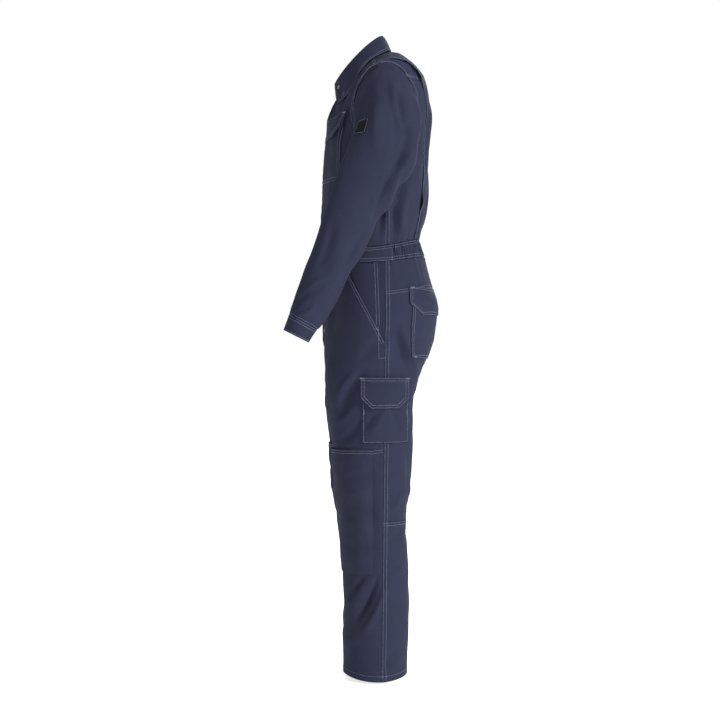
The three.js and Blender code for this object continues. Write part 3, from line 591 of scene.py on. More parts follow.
def line_beside(shell, side, distance, start=0.0, stop=0.0):
    """A line on the cloth at a distance from one side, cut short at its two ends."""
    points, normals = shell.points, shell.normals
    if side in ("top", "bottom"):
        if shell.tube:
            points = np.concatenate([points, points[:, :1]], axis=1)
            normals = np.concatenate([normals, normals[:, :1]], axis=1)
        points, normals = points.swapaxes(0, 1), normals.swapaxes(0, 1)
    if side in ("right", "bottom"):
        points, normals = points[:, ::-1], normals[:, ::-1]
    length = from_edge(points, 1)
    line, out = [], []
    for row, far, away in zip(points, length, normals):
        line.append([np.interp(distance, far, row[:, k]) for k in range(3)])
        out.append([np.interp(distance, far, away[:, k]) for k in range(3)])
    line, out = np.array(line), np.array(out)
    run = from_edge(line, 0)
    inside = (run >= start) & (run <= run[-1] - stop)
    return line[inside], out[inside]


def stitch_beside(group, name, side, distances, start=0.0, stop=0.0):
    """Rows of stitches beside one edge of a piece."""
    for distance in distances:
        points, normals = line_beside(store[name], side, distance, start, stop)
        if len(points) > 1:
            stitch(group, points, normals)


def search_tree(*shells):
    """The outer faces of some grids, to cast points onto."""
    points, faces = [], []
    for shell in shells:
        p = shell.points
        rows, columns = p.shape[:2]
        offset = len(points)
        points.extend(p.reshape(-1, 3).tolist())
        index = offset + np.arange(rows * columns).reshape(rows, columns)
        quads = np.stack([index[:-1, :-1], index[:-1, 1:], index[1:, 1:], index[1:, :-1]], -1)
        faces.extend(quads.reshape(-1, 4).tolist())
    return BVHTree.FromPolygons(points, faces)


# Where a ray of each view starts, well outside the suit, and its direction.
OUTSIDE = 450.0
RAYS = {
    "side": (lambda a, z: (OUTSIDE, a, z), Vector((-1, 0, 0))),
    "front": (lambda a, z: (a, -OUTSIDE, z), Vector((0, 1, 0))),
    "back": (lambda a, z: (a, OUTSIDE, z), Vector((0, -1, 0))),
}


def cast(tree, view, a, z):
    """A point on the cloth's outermost face in a view, and its normal.

    Of three rays the middle hit counts, so that a seam's gap is passed over.
    """
    origin, direction = RAYS[view]
    hits = []
    for aside in (-1.5, 0, 1.5):
        hit, normal, _, far = tree.ray_cast(Vector(origin(a + aside, z)), direction)
        if hit is not None:
            hits.append((far, abs(aside), hit, normal))
    if not hits:
        hit, normal, _, far = tree.find_nearest(Vector(origin(a, z)))
        hits = [(far, 0, hit, normal)]
    hits.sort(key=lambda found: found[:2])
    _, _, hit, normal = hits[(len(hits) - 1) // 2]
    if normal.dot(direction) > 0:
        normal = -normal
    place = np.array(hit)
    place[1 if view == "side" else 0] = a
    return place, np.array(normal)


def patch(tree, view, outline, columns, foremost=None):
    """A pocket or flap: points inside its outline, cast onto the cloth.

    No point lies ahead of y = foremost, where that is given.
    """
    left, right, top, bottom, corner = outline
    height = top - bottom
    rows = max(6, int(round(height / (0.9 * cell()))))
    down = np.unique(np.concatenate([
        np.linspace(0, height, rows), [1.5, 3.5, 8], height - np.array([1.2, 3, 8, 10]), [height - corner]]))
    down = down[np.concatenate([[True], np.diff(down) > 0.9])]
    edge = np.array([0, 1.2, 3, 8, 10])
    points = []
    for d in down:
        cut = max(0.0, d - (height - corner))
        end = right - cut
        while foremost is not None and cast(tree, view, end, float(top - d))[0][1] < foremost + cut:
            end -= 0.5
        middle = np.linspace(left + cut + edge[-1], end - edge[-1], columns)[1:-1]
        across = np.concatenate([left + cut + edge, middle, (end - edge)[::-1]])
        points.append([cast(tree, view, float(a), float(top - d))[0] for a in across])
    points = np.array(points)
    hint = np.zeros_like(points) - np.array(RAYS[view][1])
    return Shell(points, hint)


def clear_of(shell, lower, view, gap):
    """The grid, moved out in a view wherever it would come closer than a gap to the piece below it."""
    tree = search_tree(lower)
    origin, direction = RAYS[view]
    outwards = -np.array(direction)
    amount = np.zeros(shell.points.shape[:2])
    for place in np.ndindex(amount.shape):
        point = shell.points[place]
        aside = point[1] if view == "side" else point[0]
        hit = tree.ray_cast(Vector(origin(aside, point[2])), direction)[0]
        if hit is not None:
            amount[place] = max(0.0, (np.array(hit) - point) @ outwards + gap)
    for _ in range(12):
        around = np.pad(amount, 1, mode="edge")
        spread = (around[:-2, 1:-1] + around[2:, 1:-1] + around[1:-1, :-2] + around[1:-1, 2:]) / 4
        amount = np.maximum(amount, spread)
    return Shell(shell.points + outwards * amount[..., None], shell.normals)


def outline_line(tree, view, corners, gap=2.0):
    """A run of straight lines between corners given in a view, cast onto the cloth."""
    points, normals = [], []
    for (a0, z0), (a1, z1) in zip(corners[:-1], corners[1:]):
        count = max(2, int(math.hypot(a1 - a0, z1 - z0) / gap))
        for f in np.linspace(0, 1, count, endpoint=False):
            p, n = cast(tree, view, a0 + (a1 - a0) * f, z0 + (z1 - z0) * f)
            points.append(p)
            normals.append(n)
    p, n = cast(tree, view, *corners[-1])
    points.append(p)
    normals.append(n)
    normals = np.array(normals)
    smoothed = (np.roll(normals, 1, 0) + normals + np.roll(normals, -1, 0)) / 3
    smoothed[0], smoothed[-1] = normals[0], normals[-1]
    return np.array(points), smoothed / np.linalg.norm(smoothed, axis=-1, keepdims=True)


def pocket_outline(outline, inset):
    """Corners of a line inside the sides and bottom of a pocket or flap."""
    left, right, top, bottom, corner = outline
    turn = corner + inset * (math.sqrt(2) - 2) + inset
    return [(left + inset, top - 1), (left + inset, bottom + turn), (left + turn, bottom + inset),
            (right - turn, bottom + inset), (right - inset, bottom + turn), (right - inset, top - 1)]


def linear(hex_colour):
    """sRGB hex to linear RGBA."""
    parts = [int(hex_colour[i:i + 2], 16) / 255 for i in (1, 3, 5)]
    return tuple(c / 12.92 if c <= 0.04045 else ((c + 0.055) / 1.055) ** 2.4 for c in parts) + (1.0,)


def add_node(tree, kind, inputs=None, **settings):
    """A node with its settings, and its inputs as values or links."""
    node = tree.nodes.new(kind)
    for name, value in settings.items():
        setattr(node, name, value)
    for name, value in (inputs or {}).items():
        if isinstance(value, bpy.types.NodeSocket):
            tree.links.new(value, node.inputs[name])
        else:
            node.inputs[name].default_value = value
    return node


def new_material(name):
    material = bpy.data.materials.new(name)
    material.use_nodes = True
    return material, material.node_tree, material.node_tree.nodes["Principled BSDF"]


def weave_millimetres(tree):
    """Place on the flat cloth in millimetres."""
    flat = add_node(tree, "ShaderNodeUVMap", uv_map="Weave").outputs["UV"]
    scaled = add_node(tree, "ShaderNodeVectorMath", {0: flat, 1: (1000, 1000, 1000)}, operation="MULTIPLY")
    return scaled.outputs[0]


def twill_material():
    """Navy twill with fine diagonal ribs and a soft uneven dye."""
    material, tree, shader = new_material("navy_twill")
    millimetres = weave_millimetres(tree)
    ribs = add_node(tree, "ShaderNodeTexWave", {
        "Vector": millimetres, "Scale": TWILL_SCALE, "Distortion": 0.5, "Detail": 1.0, "Detail Scale": 1.2},
        wave_type="BANDS", bands_direction="DIAGONAL")
    fibres = add_node(tree, "ShaderNodeTexNoise", {
        "Vector": millimetres, "Scale": 1.6, "Detail": 3.0, "Roughness": 0.6})
    place = add_node(tree, "ShaderNodeTexCoord").outputs["Object"]
    dye = add_node(tree, "ShaderNodeTexNoise", {
        "Vector": place, "Scale": 22.0, "Detail": 5.0, "Roughness": 0.6})
    tone = add_node(tree, "ShaderNodeMixRGB", {
        "Fac": dye.outputs["Fac"], "Color1": linear("#202334"), "Color2": linear("#26293B")})
    grain = add_node(tree, "ShaderNodeMixRGB", {
        "Fac": 0.35, "Color1": tone.outputs[0], "Color2": fibres.outputs["Color"]}, blend_type="SOFT_LIGHT")
    ribbed = add_node(tree, "ShaderNodeBump", {
        "Strength": 0.55, "Distance": 0.00012, "Height": ribs.outputs["Fac"]})
    wrinkles = add_node(tree, "ShaderNodeTexNoise", {
        "Vector": place, "Scale": 75.0, "Detail": 3.0, "Roughness": 0.55})
    wrinkled = add_node(tree, "ShaderNodeBump", {
        "Strength": 0.35, "Distance": 0.0012, "Height": wrinkles.outputs["Fac"], "Normal": ribbed.outputs[0]})
    tree.links.new(grain.outputs[0], shader.inputs["Base Color"])
    tree.links.new(wrinkled.outputs[0], shader.inputs["Normal"])
    shader.inputs["Roughness"].default_value = 0.86
    shader.inputs["Sheen Weight"].default_value = 0.02
    shader.inputs["Sheen Roughness"].default_value = 0.5
    shader.inputs["Sheen Tint"].default_value = linear("#C3C8E0")
    shader.inputs["Specular IOR Level"].default_value = 0.12
    return material


def plain_material(name, colour, roughness, metallic=0.0):
    material, _, shader = new_material(name)
    shader.inputs["Base Color"].default_value = linear(colour)
    shader.inputs["Roughness"].default_value = roughness
    shader.inputs["Metallic"].default_value = metallic
    return material


def floor_material():
    """A pale floor that glows a little, as a light table does."""
    made = plain_material("pale_floor", "#F2F2F2", 0.9)
    shader = made.node_tree.nodes["Principled BSDF"]
    shader.inputs["Emission Color"].default_value = linear("#FFFFFF")
    shader.inputs["Emission Strength"].default_value = 0.75
    return made


def label_material():
    """Black damask with fine ribs."""
    material, tree, shader = new_material("woven_label")
    millimetres = weave_millimetres(tree)
    ribs = add_node(tree, "ShaderNodeTexWave", {"Vector": millimetres, "Scale": LABEL_SCALE},
                    wave_type="BANDS", bands_direction="X")
    ribbed = add_node(tree, "ShaderNodeBump", {
        "Strength": 0.5, "Distance": 0.0002, "Height": ribs.outputs["Fac"]})
    tree.links.new(ribbed.outputs[0], shader.inputs["Normal"])
    shader.inputs["Base Color"].default_value = linear("#0C0C0E")
    shader.inputs["Roughness"].default_value = 0.8
    shader.inputs["Specular IOR Level"].default_value = 0.2
    return material


materials = {}


def material(name):
    """A material of the suit, made when it is first asked for."""
    makers = {
        "twill": twill_material,
        "thread": lambda: plain_material("lilac_grey_thread", "#74778E", 0.6),
        "navy_thread": lambda: plain_material("navy_thread", "#33374A", 0.7),
        "label": label_material,
        "snap": lambda: plain_material("dull_metal_snap", "#A8A498", 0.45, 0.5),
        "floor": floor_material,
    }
    if name not in materials:
        materials[name] = makers[name]()
    return materials[name]


def shell_faces(rows, columns, tube):
    """Four-sided faces between the points of a grid."""
    last = columns if tube else columns - 1
    i, j = np.meshgrid(np.arange(rows - 1), np.arange(last), indexing="ij")
    n = (j + 1) % columns
    a, b, c, d = i * columns + j, i * columns + n, (i + 1) * columns + n, (i + 1) * columns + j
    return np.stack([a, b, c, d], -1).reshape(-1, 4)


def open_edges(faces):
    """Directed edges that only one face has."""
    edges = {}
    for face in faces:
        for k in range(4):
            p, q = int(face[k]), int(face[(k + 1) % 4])
            if (q, p) in edges:
                del edges[(q, p)]
            else:
                edges[(p, q)] = True
    return edges


def make_object(name, shell, wall, slot):
    """A closed shell of cloth, its outer face on the grid."""
    rows, columns = shell.points.shape[:2]
    outer_points = shell.points.reshape(-1, 3)
    inner_points = (shell.points - shell.normals * wall).reshape(-1, 3)
    outer = shell_faces(rows, columns, shell.tube)
    count = rows * columns
    first = shell.points[0, 1] - shell.points[0, 0]
    second = shell.points[1, 0] - shell.points[0, 0]
    if np.dot(np.cross(first, second), shell.normals[0, 0]) < 0:
        outer = outer[:, ::-1]
    inner = outer[:, ::-1] + count
    rim = np.array([(q, p, p + count, q + count) for p, q in open_edges(outer)])
    faces = np.concatenate([outer, inner, rim])
    mesh = bpy.data.meshes.new(name)
    mesh.from_pydata((np.concatenate([outer_points, inner_points]) * MM).tolist(), [], faces.tolist())
    flags = np.ones(len(faces), bool)
    flags[len(outer) + len(inner):] = False
    mesh.polygons.foreach_set("use_smooth", flags)
    write_weave(mesh, shell)
    mesh.materials.append(material(slot))
    mesh.validate()
    obj = bpy.data.objects.new(f"{name}_cloth", mesh)
    bpy.context.scene.collection.objects.link(obj)
    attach(obj, "root")
    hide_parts(name)
    return obj


def write_weave(mesh, shell):
    """The cloth's flat coordinates as UVs; on a tube the last column meets the first."""
    flat = shell.flat
    rows, columns = shell.points.shape[:2]
    per_vertex = np.concatenate([flat[:, :columns].reshape(-1, 2)] * 2)
    index = np.zeros(len(mesh.loops), np.int32)
    mesh.loops.foreach_get("vertex_index", index)
    uv = per_vertex[index]
    if shell.tube:
        faces = index.reshape(-1, 4) % (rows * columns)
        column = faces % columns
        wraps = (column.max(1) == columns - 1) & (column.min(1) == 0)
        corners = (wraps[:, None] & (column == 0)).reshape(-1)
        row = (faces // columns).reshape(-1)
        uv[corners] = flat[row[corners], columns]
    layer = mesh.uv_layers.new(name="Weave")
    layer.data.foreach_set("uv", uv.astype(np.float32).ravel())


def make_cloth(name, shell, wall, cut):
    """A piece of cloth; the size that it was cut to, width by length in metres, is given but not kept."""
    obj = make_object(name, shell, wall, "twill")
    width, length = cut
    min(shell.area(), width * length)


def flat_size(shell):
    """Width and length of the rectangle that the cut fits, with its seam allowances left out."""
    down = from_edge(shell.points, 0)[-1].max() * MM
    return (float(np.ptp(shell.flat[..., 0])) * 1.01, float(down) * 1.01)


def right_leg(z):
    """How the right leg is moved from the left one's mirror image, by height."""
    order = np.argsort(RIGHT_LEG_AHEAD[:, 0])
    ahead = np.interp(z, RIGHT_LEG_AHEAD[order, 0], RIGHT_LEG_AHEAD[order, 1])
    return np.stack([0 * z, -ahead, 0 * z], -1)


def right_arm(z):
    """How the right arm is moved from the left one's mirror image, by height."""
    swing = smooth((-300 - z) / 400)
    return np.stack([0 * z, -26 * swing, 12 * swing], -1)


def keep_pair(name, left, moved=None):
    """Keeps a left piece and its right twin."""
    keep(f"{name}_left", left)
    keep(f"{name}_right", left.mirrored(moved))


def still(left, right):
    """Cloth lies still along its seams and waves between them."""
    return smooth(np.minimum(left, right) / 18)


def body_panel(t, edges, margins, relief):
    """A panel of the body between two edges, with its folds and a relief of its own."""
    angle, rows_t, left, right = strip(BODY, t, edges, margins)
    points, out = base_nodes(BODY, 1, angle, rows_t)
    depth = cloth_depth(points, BODY_FOLDS) + slackness(points, BODY_WAVES) * still(left, right)
    waist = from_edge(points, 0)
    depth = depth + ripples(angle, waist) + drawn(waist, left, 0.5)
    points = points + out * (depth + relief(angle, rows_t, left, right))[..., None]
    return Shell(points, out)


def build_fronts():
    def edges(t):
        return centre_front(BODY, t), panel_edge(t, -ARMHOLE_FORWARD)

    def relief(angle, t, left, right):
        along = t * FRONT_RUN
        return felled(right, along) * (t < PLEAT_TOP) + drawn(right, along, 0.5)

    keep_pair("front", body_panel(body_rows(), edges, (EDGE, SEAM), relief))


def back_relief(angle, t, left, right):
    """The back panel stands off the side back at its pleats, most near their two ends."""
    inside = 90 - np.abs(90 - angle) - pleat_edge(t)
    low = 1 - smooth((t - PLEAT_TOP) / 0.5)
    overlap = 1 - smooth((inside - PLEAT_UNDERLAP - 2) / 12)
    above = ridge(t, 6.6, 0.4)
    below = ridge(t, 1.85, 0.3) * smooth((t - 1.5) / 0.15)
    gape = 0.3 + 5 * above + 4.5 * below
    ends = smooth(t / 0.8) * (1 - smooth((t - 7.1) / 0.4))
    edge = np.minimum(left, right)
    gape = gape - 1.3 * (1 - smooth(edge / 3)) * (1 - above) * (1 - below)
    hem = 0.5 * smooth((9 - edge) / 2) - 0.3 * ridge(edge, 7, 1)
    stand = gape * ends * ridge(inside, 0, 8)
    return 0.3 + low * (1.7 * overlap + stand + hem) + drawn(edge, t * BACK_RUN, 0.6)


def build_back():
    def edges(t):
        return pleat_edge(t), 180 - pleat_edge(t)

    def side_edges(t):
        under = PLEAT_UNDERLAP * np.where(t >= PLEAT_TOP, 0.5, 1.0)
        return panel_edge(t, ARMHOLE_BACKWARD), pleat_edge(t) + under

    def side_relief(angle, t, left, right):
        return felled(left, t * FRONT_RUN) * (t > ARMPIT) + drawn(left, t * SIDE_RUN, 0.7)

    keep("back_panel", body_panel(body_rows(), edges, (SEAM, SEAM), back_relief))
    low = body_rows(0, BACK_YOKE - ACROSS_GAP)
    keep_pair("side_back", body_panel(low, side_edges, (SEAM, EDGE), side_relief))
    high = body_rows(BACK_YOKE + ACROSS_GAP, PLEAT_TOP)
    keep_pair("shoulder_yoke", body_panel(high, side_edges, (SEAM, EDGE), side_relief))


def armhole_point(share):
    """Points round the armhole, just under the panels.

    The share runs from the shoulder (0) by the back and the underarm (0.5) to the front.
    """
    rank = np.where(share <= 0.5, 1 - 2 * share, 2 * share - 1)
    t = ARMPIT + (SHOULDER_TIP - ARMPIT) * (1 - np.cos(np.pi * rank)) / 2
    reach = np.where(share <= 0.5, ARMHOLE_BACKWARD, -ARMHOLE_FORWARD)
    section = between(BODY, t)
    w = (t - ARMPIT) / (SHOULDER_TIP - ARMPIT)
    y = section[..., 9] + reach * np.sqrt(np.maximum(0, 1 - (2 * w - 1) ** 2))
    points, out = base_nodes(BODY, 1, angle_at_y(section, y), t)
    return points + out * (cloth_depth(points, BODY_FOLDS) - TUCK)[..., None]


def arm_point(row, share):
    """Points round the arm below its cap, from the outside by the back."""
    ring = between(ARM, row)
    step = between(ARM, np.minimum(row + 0.5, len(ARM) - 1)) - between(ARM, np.maximum(row - 0.5, 0))
    slope = step[..., 1:3] / np.linalg.norm(step[..., 1:3], axis=-1, keepdims=True)
    turn = 2 * np.pi * share
    return np.stack([
        ring[..., 0] + ring[..., 4] * np.cos(turn),
        ring[..., 1] - ring[..., 3] * np.sin(turn) * slope[..., 1],
        ring[..., 2] + ring[..., 3] * np.sin(turn) * slope[..., 0]], -1)


def cap_points(down, share):
    """Points of the sleeve's cap, on curves from the armhole to the arm's first ring."""
    start = armhole_point(share)
    inward = ARMHOLE_MIDDLE - start
    start = start - inward / np.linalg.norm(inward, axis=-1, keepdims=True) * TUCK
    end = arm_point(np.zeros_like(share), share)
    span = np.linalg.norm(end - start, axis=-1, keepdims=True)
    top = ((1 + np.cos(2 * np.pi * share)) / 2)[..., None]
    leave = np.concatenate([0.86 + 0 * top, 0 * top, -0.5 - 0.2 * (1 - top)], -1)
    leave = leave / np.linalg.norm(leave, axis=-1, keepdims=True)
    outwards = start + leave * (26 + 32 * top)
    upwards = end - UPPER_ARM / np.linalg.norm(UPPER_ARM) * 0.38 * span * (0.3 + 0.7 * top)
    upwards[..., 1] += np.where(share < 0.5, SLEEVE_REAR_FULLNESS * np.sin(2 * np.pi * share) ** 2, 0)
    s = down[..., None]
    r = 1 - s
    return start * r**3 + outwards * 3 * r * r * s + upwards * 3 * r * s * s + end * s**3


def sleeve_relief(points, head, wrist, share):
    """Folds, the fullness beside the armhole's seam, and the gathers above the cuff."""
    depth = cloth_depth(points, SLEEVE_FOLDS) * smooth(head / 18)
    depth = depth + slackness(points, SLEEVE_WAVES) * smooth(head / 25) * smooth(wrist / 20)
    front = smooth((share - 0.6) / 0.1) * (1 - smooth((share - 0.96) / 0.04))
    depth = depth - 6.5 * front * ridge(head, 11, 8) + 3 * front * ridge(head, 32, 14)
    rear = smooth((share - 0.04) / 0.05) * (1 - smooth((share - 0.3) / 0.1))
    depth = depth - 1.5 * rear * ridge(head, 8, 7) + 1.8 * rear * ridge(head, 24, 12)
    depth = depth + drawn(head, share * 420, 0.7)
    turn = share * 2 * np.pi
    around = np.sin(turn * 9 + 1.2 * np.sin(turn * 4))
    return depth + 1.3 * around * np.exp(-wrist / 16) * smooth(wrist / 2)


def build_sleeves():
    columns = int(round(560 / cell()))
    share = np.arange(columns) / columns
    near = np.array([0, 0.012, 0.03, 0.055, 0.085, 0.12])
    caps = np.concatenate([near, np.linspace(0.16, 0.97, int(200 / cell()))])
    rings = np.linspace(0, WRIST, int(390 / cell()))
    cap = cap_points(*np.meshgrid(caps, share, indexing="ij"))
    arm = arm_point(*np.meshgrid(rings, share, indexing="ij"))
    points = np.concatenate([cap, arm])
    plain = Shell(points, points - points.mean(axis=1, keepdims=True), True)
    depth = sleeve_relief(points, from_edge(points, 0), to_edge(points, 0), share[None, :])
    keep_pair("sleeve", plain.lifted(depth), right_arm)

    first = WRIST + np.array([0, 0.04, 0.12, 0.3])
    rings = np.concatenate([first, np.linspace(WRIST + 0.5, 8.9, 7), [CUFF_END]])
    points = arm_point(*np.meshgrid(rings, share, indexing="ij")) + FOREARM * 0.4
    cuff = Shell(points, points - points.mean(axis=1, keepdims=True), True)
    edge = np.minimum(from_edge(points, 0), to_edge(points, 0))
    raised = 0.5 * smooth(edge / 3) + 0.3 * drawn(edge, share[None, :] * 230, 1)
    keep_pair("cuff", cuff.lifted(raised), right_arm)


# The collar's fold as a section.
FOLD_RING = np.array([-62, 3, 58, 0, 60, -101, 15, 2, 2, 0], float)
# Lower edge of the collar from the centre back to its point: share, x, y, z.
FALL_EDGE = np.array([
    [0, 0, 37, 29], [0.25, 58, 29, 18], [0.48, 88, 4, 0], [0.6, 97, -15, -14],
    [0.72, 103, -34, -44], [0.82, 102, -52, -77], [0.92, 85, -75, -108], [1, 62, -96, -121]], float)


def fall_edge(share):
    """Points of the collar's lower edge."""
    step = np.interp(share, FALL_EDGE[:, 0], np.arange(len(FALL_EDGE)))
    return between(FALL_EDGE, step)[..., 1:]


def laid_down(fall, drop):
    """The collar with its lower edge drawn in until it lies on the fronts and the back."""
    tree = search_tree(store["front_left"], store["front_right"], store["back_panel"])
    shift = []
    for point in fall[-1]:
        hit, normal, _, _ = tree.find_nearest(Vector(point))
        out = np.array(normal)
        if out[2] < 0:
            out = -out
        shift.append(np.array(hit) + out * 3.2 - point)
    shift = np.array(shift)
    for _ in range(3):
        shift[1:-1] = (shift[:-2] + shift[1:-1] + shift[2:]) / 3
    return fall + shift * drop**2


def away_from(points, ahead):
    """Level unit directions away from an upright line ahead of the neck's middle."""
    out = np.stack([points[:, 0], points[:, 1] + ahead, 0 * points[:, 2]], -1)
    return out / np.linalg.norm(out, axis=-1, keepdims=True)


def collar_stand(fold, neck, sides):
    """The collar's band, from inside the neck seam up to the fold."""
    up = fold - neck
    neck = neck + up / np.linalg.norm(up, axis=-1, keepdims=True) * 0.9
    out = away_from(neck, 35)
    height = np.linspace(0, 1, 10)[:, None, None]
    tucked = (1 - height) ** 3 * (out * 2.4 + np.array([0, 0, 4]))
    stand = neck + (fold - neck) * height + out * 3 * np.sin(np.pi * height) - tucked
    return Shell(stand * sides, np.broadcast_to(out * sides, stand.shape))


def collar_fall(fold, size, sides):
    """The collar's outer part, from the fold down to its points."""
    edge = fall_edge(size)
    away = away_from(fold, 40)
    top = fold + away * 2.1
    roll = top + (edge - top) * 0.4 + away * 3 + np.array([0, 0, 3])
    drop = np.concatenate([[0, 0.02, 0.05], np.linspace(0.08, 0.9, 14), [0.93, 0.965, 0.985, 1]])
    drop = drop[:, None, None]
    fall = top * (1 - drop) ** 2 + roll * 2 * drop * (1 - drop) + edge * drop**2
    fall = laid_down(fall * sides, drop)
    return Shell(fall, np.broadcast_to(away * sides, fall.shape) + np.array([0, 0, 0.3]))


def build_collar():
    share = np.linspace(1, -1, int(round(400 / cell())))
    size = np.abs(share)
    across = np.sign(share) + (share == 0)
    sides = np.stack([across, np.ones_like(share), np.ones_like(share)], -1)
    angle = 90 - 177 * size
    fold = on_section(FOLD_RING, angle)
    keep("collar_stand", collar_stand(fold, on_section(BODY[-1], angle), sides))
    fall = collar_fall(fold, size, sides)
    ends = np.minimum(from_edge(fall.points, 1), to_edge(fall.points, 1))
    rim = np.minimum(to_edge(fall.points, 0), ends)
    turned = 0.5 * smooth(rim / 2) + 0.4 * (1 - smooth((rim - 7) / 2)) - 0.3 * ridge(rim, 6.5, 0.9)
    keep("collar_fall", fall.lifted(turned + drawn(rim, share[None, :] * 300, 0.35)))


def band_section(share):
    """Sections of the waistband, from the body (0) to the hips (1)."""
    ends = np.array([BODY[0], LEG[0]])
    ends[0, :3] -= 0.6
    ends[1, :3] += 0.6
    return between(ends, share)


def build_waistband():
    share = np.array([0, 0.03, 0.07, 0.18, 0.24, 0.35, 0.5, 0.65, 0.76, 0.82, 0.93, 0.97, 1.0])

    def band(first, last, count, relief):
        grid = first[:, None] + (last - first)[:, None] * np.linspace(0, 1, count)
        section = band_section(np.broadcast_to(share[:, None], grid.shape))
        points = on_section(section, grid)
        out = np.stack([points[..., 0], points[..., 1], 0 * grid], -1)
        out /= np.linalg.norm(out, axis=-1, keepdims=True)
        edge = np.minimum(from_edge(points, 0), to_edge(points, 0))
        pillow = 0.7 * smooth(edge / 3) - 0.35 * ridge(edge, 2.2, 0.9)
        return Shell(points + out * (pillow + relief(grid, edge, points))[..., None], out)

    sections = band_section(share)
    side = angle_at_y(sections, ELASTIC_START)
    front = -reach_to_x(sections, CENTRE_GAP, sections[..., 7])

    def puckers(angle, edge, points):
        return drawn(edge, angle * 3.2, 0.4)

    def gathers(angle, edge, points):
        turns = (angle - side[:, None]) / (180 - 2 * side[:, None]) * GATHERS
        level = (points[..., 2] - points[len(points) // 2, :, 2]) / 20
        phase = 2 * np.pi * (turns + 0.25 * np.sin(turns * 1.7) + 0.15 * np.sin(turns * 0.61)
                             + 0.3 * level * np.sin(turns * 2.1) + 0.12 * np.sin(level * 4 + turns * 1.3))
        height = 0.7 + 0.3 * np.sin(turns * 2.3 + level * 1.5)
        folds = np.cos(phase) * (0.6 + 0.4 * smooth(edge / 6)) * 2.1 * height
        return folds + 0.5 * np.sin(phase * 2 + edge * 0.16) * smooth(edge / 4)

    keep_pair("waistband_front", band(front, side - 0.05, int(round(230 / cell())), puckers))
    keep("waistband_back", band(side + 0.05, 180 - side - 0.05, GATHERS * 12, gathers))


def leg_panel(t, edges, margins, relief=None):
    """A panel of the hips and the left leg between two edges, with its folds."""
    angle, rows_t, left, right = strip(LEG, t, edges, margins)
    points, out = base_nodes(LEG, -1, angle, rows_t)
    depth = cloth_depth(points, LEG_FOLDS) + slackness(points, LEG_WAVES) * still(left, right)
    if t[0] < 0.01:
        waist = from_edge(points, 0)
        depth = depth + ripples(angle, waist) + drawn(waist, left, 0.5)
    depth = depth + 1.2 * ridge(points[..., 2], HEM_Z, 60) * np.sin(np.radians(angle) * 3 + 0.7)
    if relief is not None:
        depth = depth + relief(angle, rows_t, left, right)
    return Shell(points + out * depth[..., None], out)


def inner_front(t):
    """Angle of the trouser front's inner edge: at the middle plane, and below the crotch the inseam."""
    section = between(LEG, t)
    return np.where(t >= CROTCH, -179.8, -reach_to_x(section, CENTRE_GAP, section[..., 7]))


def inner_back(t):
    """Angle of the trouser back's inner edge."""
    section = between(LEG, t)
    return np.where(t >= CROTCH, 179.8, reach_to_x(section, CENTRE_GAP, section[..., 8]))


def leg_seam(t, side):
    """Angle of the side seam, seen from the panel behind it (1) or ahead of it (-1)."""
    section = between(LEG, t)
    return angle_at_y(section, section[..., 9] + side * 0.12)


def mouth_edge(t):
    """Angle of the trouser front's outer edge: the slanted pocket mouth, then the side seam."""
    section = between(LEG, t)
    share = (POCKET_MOUTH["z_top"] - section[..., 1]) / (POCKET_MOUTH["z_top"] - POCKET_MOUTH["z_bottom"])
    share = np.clip(share, 0, 1)
    return angle_at_y(section, POCKET_MOUTH["y_top"] * (1 - share) + section[..., 9] * share - 0.12)


# Close sections where the panels part at the crotch.
CROTCH_ROWS = [6, 6.2, 6.4, 6.55, 6.7, 6.8, 6.88, 6.94, 6.98, 6.995, 7, 7.1]


def hem_relief(z):
    """The turned-up hem and the groove of its stitches."""
    up = z - HEM_Z
    return 0.5 * (1 - smooth((up - 13) / 2)) - 0.35 * ridge(up, 13.5, 1)


def leg_front_relief(angle, t, left, right):
    z = between(LEG, t)[..., 1]
    mouth = (z > POCKET_MOUTH["z_bottom"]) * (0.7 * smooth((8 - right) / 2))
    return mouth + drawn(right, z, 0.5) + drawn(left, z, 0.35) + hem_relief(z)


def leg_back_relief(angle, t, left, right):
    z = between(LEG, t)[..., 1]
    return felled(left, -z) * (t > HIP_SEAM) + drawn(left, z, 0.5) + drawn(right, z, 0.4) + hem_relief(z)


def build_trousers():
    def front_edges(t):
        return inner_front(t), mouth_edge(t)

    def back_edges(t):
        return leg_seam(t, 1), inner_back(t)

    def facing_edges(t):
        return mouth_edge(t) - 3, leg_seam(t, -1)

    whole = rows_along(LEG, 0, HEM, fine=CROTCH_ROWS)
    keep_pair("trouser_front", leg_panel(whole, front_edges, (EDGE, SEAM), leg_front_relief), right_leg)
    yoke = rows_along(LEG, 0, HIP_SEAM - ACROSS_GAP, 60)
    keep_pair("seat_yoke", leg_panel(yoke, back_edges, (SEAM, EDGE), leg_back_relief))
    upper = rows_along(LEG, HIP_SEAM + ACROSS_GAP, KNEE_SEAM - KNEE_GAP, 60, fine=CROTCH_ROWS)
    lower = rows_along(LEG, KNEE_SEAM + KNEE_GAP, HEM, 60)
    for name, rows in (("trouser_back", upper), ("lower_leg_back", lower)):
        panel = leg_panel(rows, back_edges, (SEAM, EDGE), leg_back_relief)
        keep_pair(name, seam_at_top(panel), right_leg)
    facing = leg_panel(rows_along(LEG, 0, 4.6), facing_edges, (EDGE, EDGE))
    seam = to_edge(facing.points, 1)
    keep_pair("hip_pocket_facing", facing.lifted(-1.9 * smooth(seam / 14) - 0.1))


def seam_at_top(shell):
    """A felled seam along the top of a panel."""
    distance = from_edge(shell.points, 0)
    along = from_edge(shell.points, 1)
    return shell.lifted(felled(distance, along, 0.8) + drawn(distance, along, 0.4))


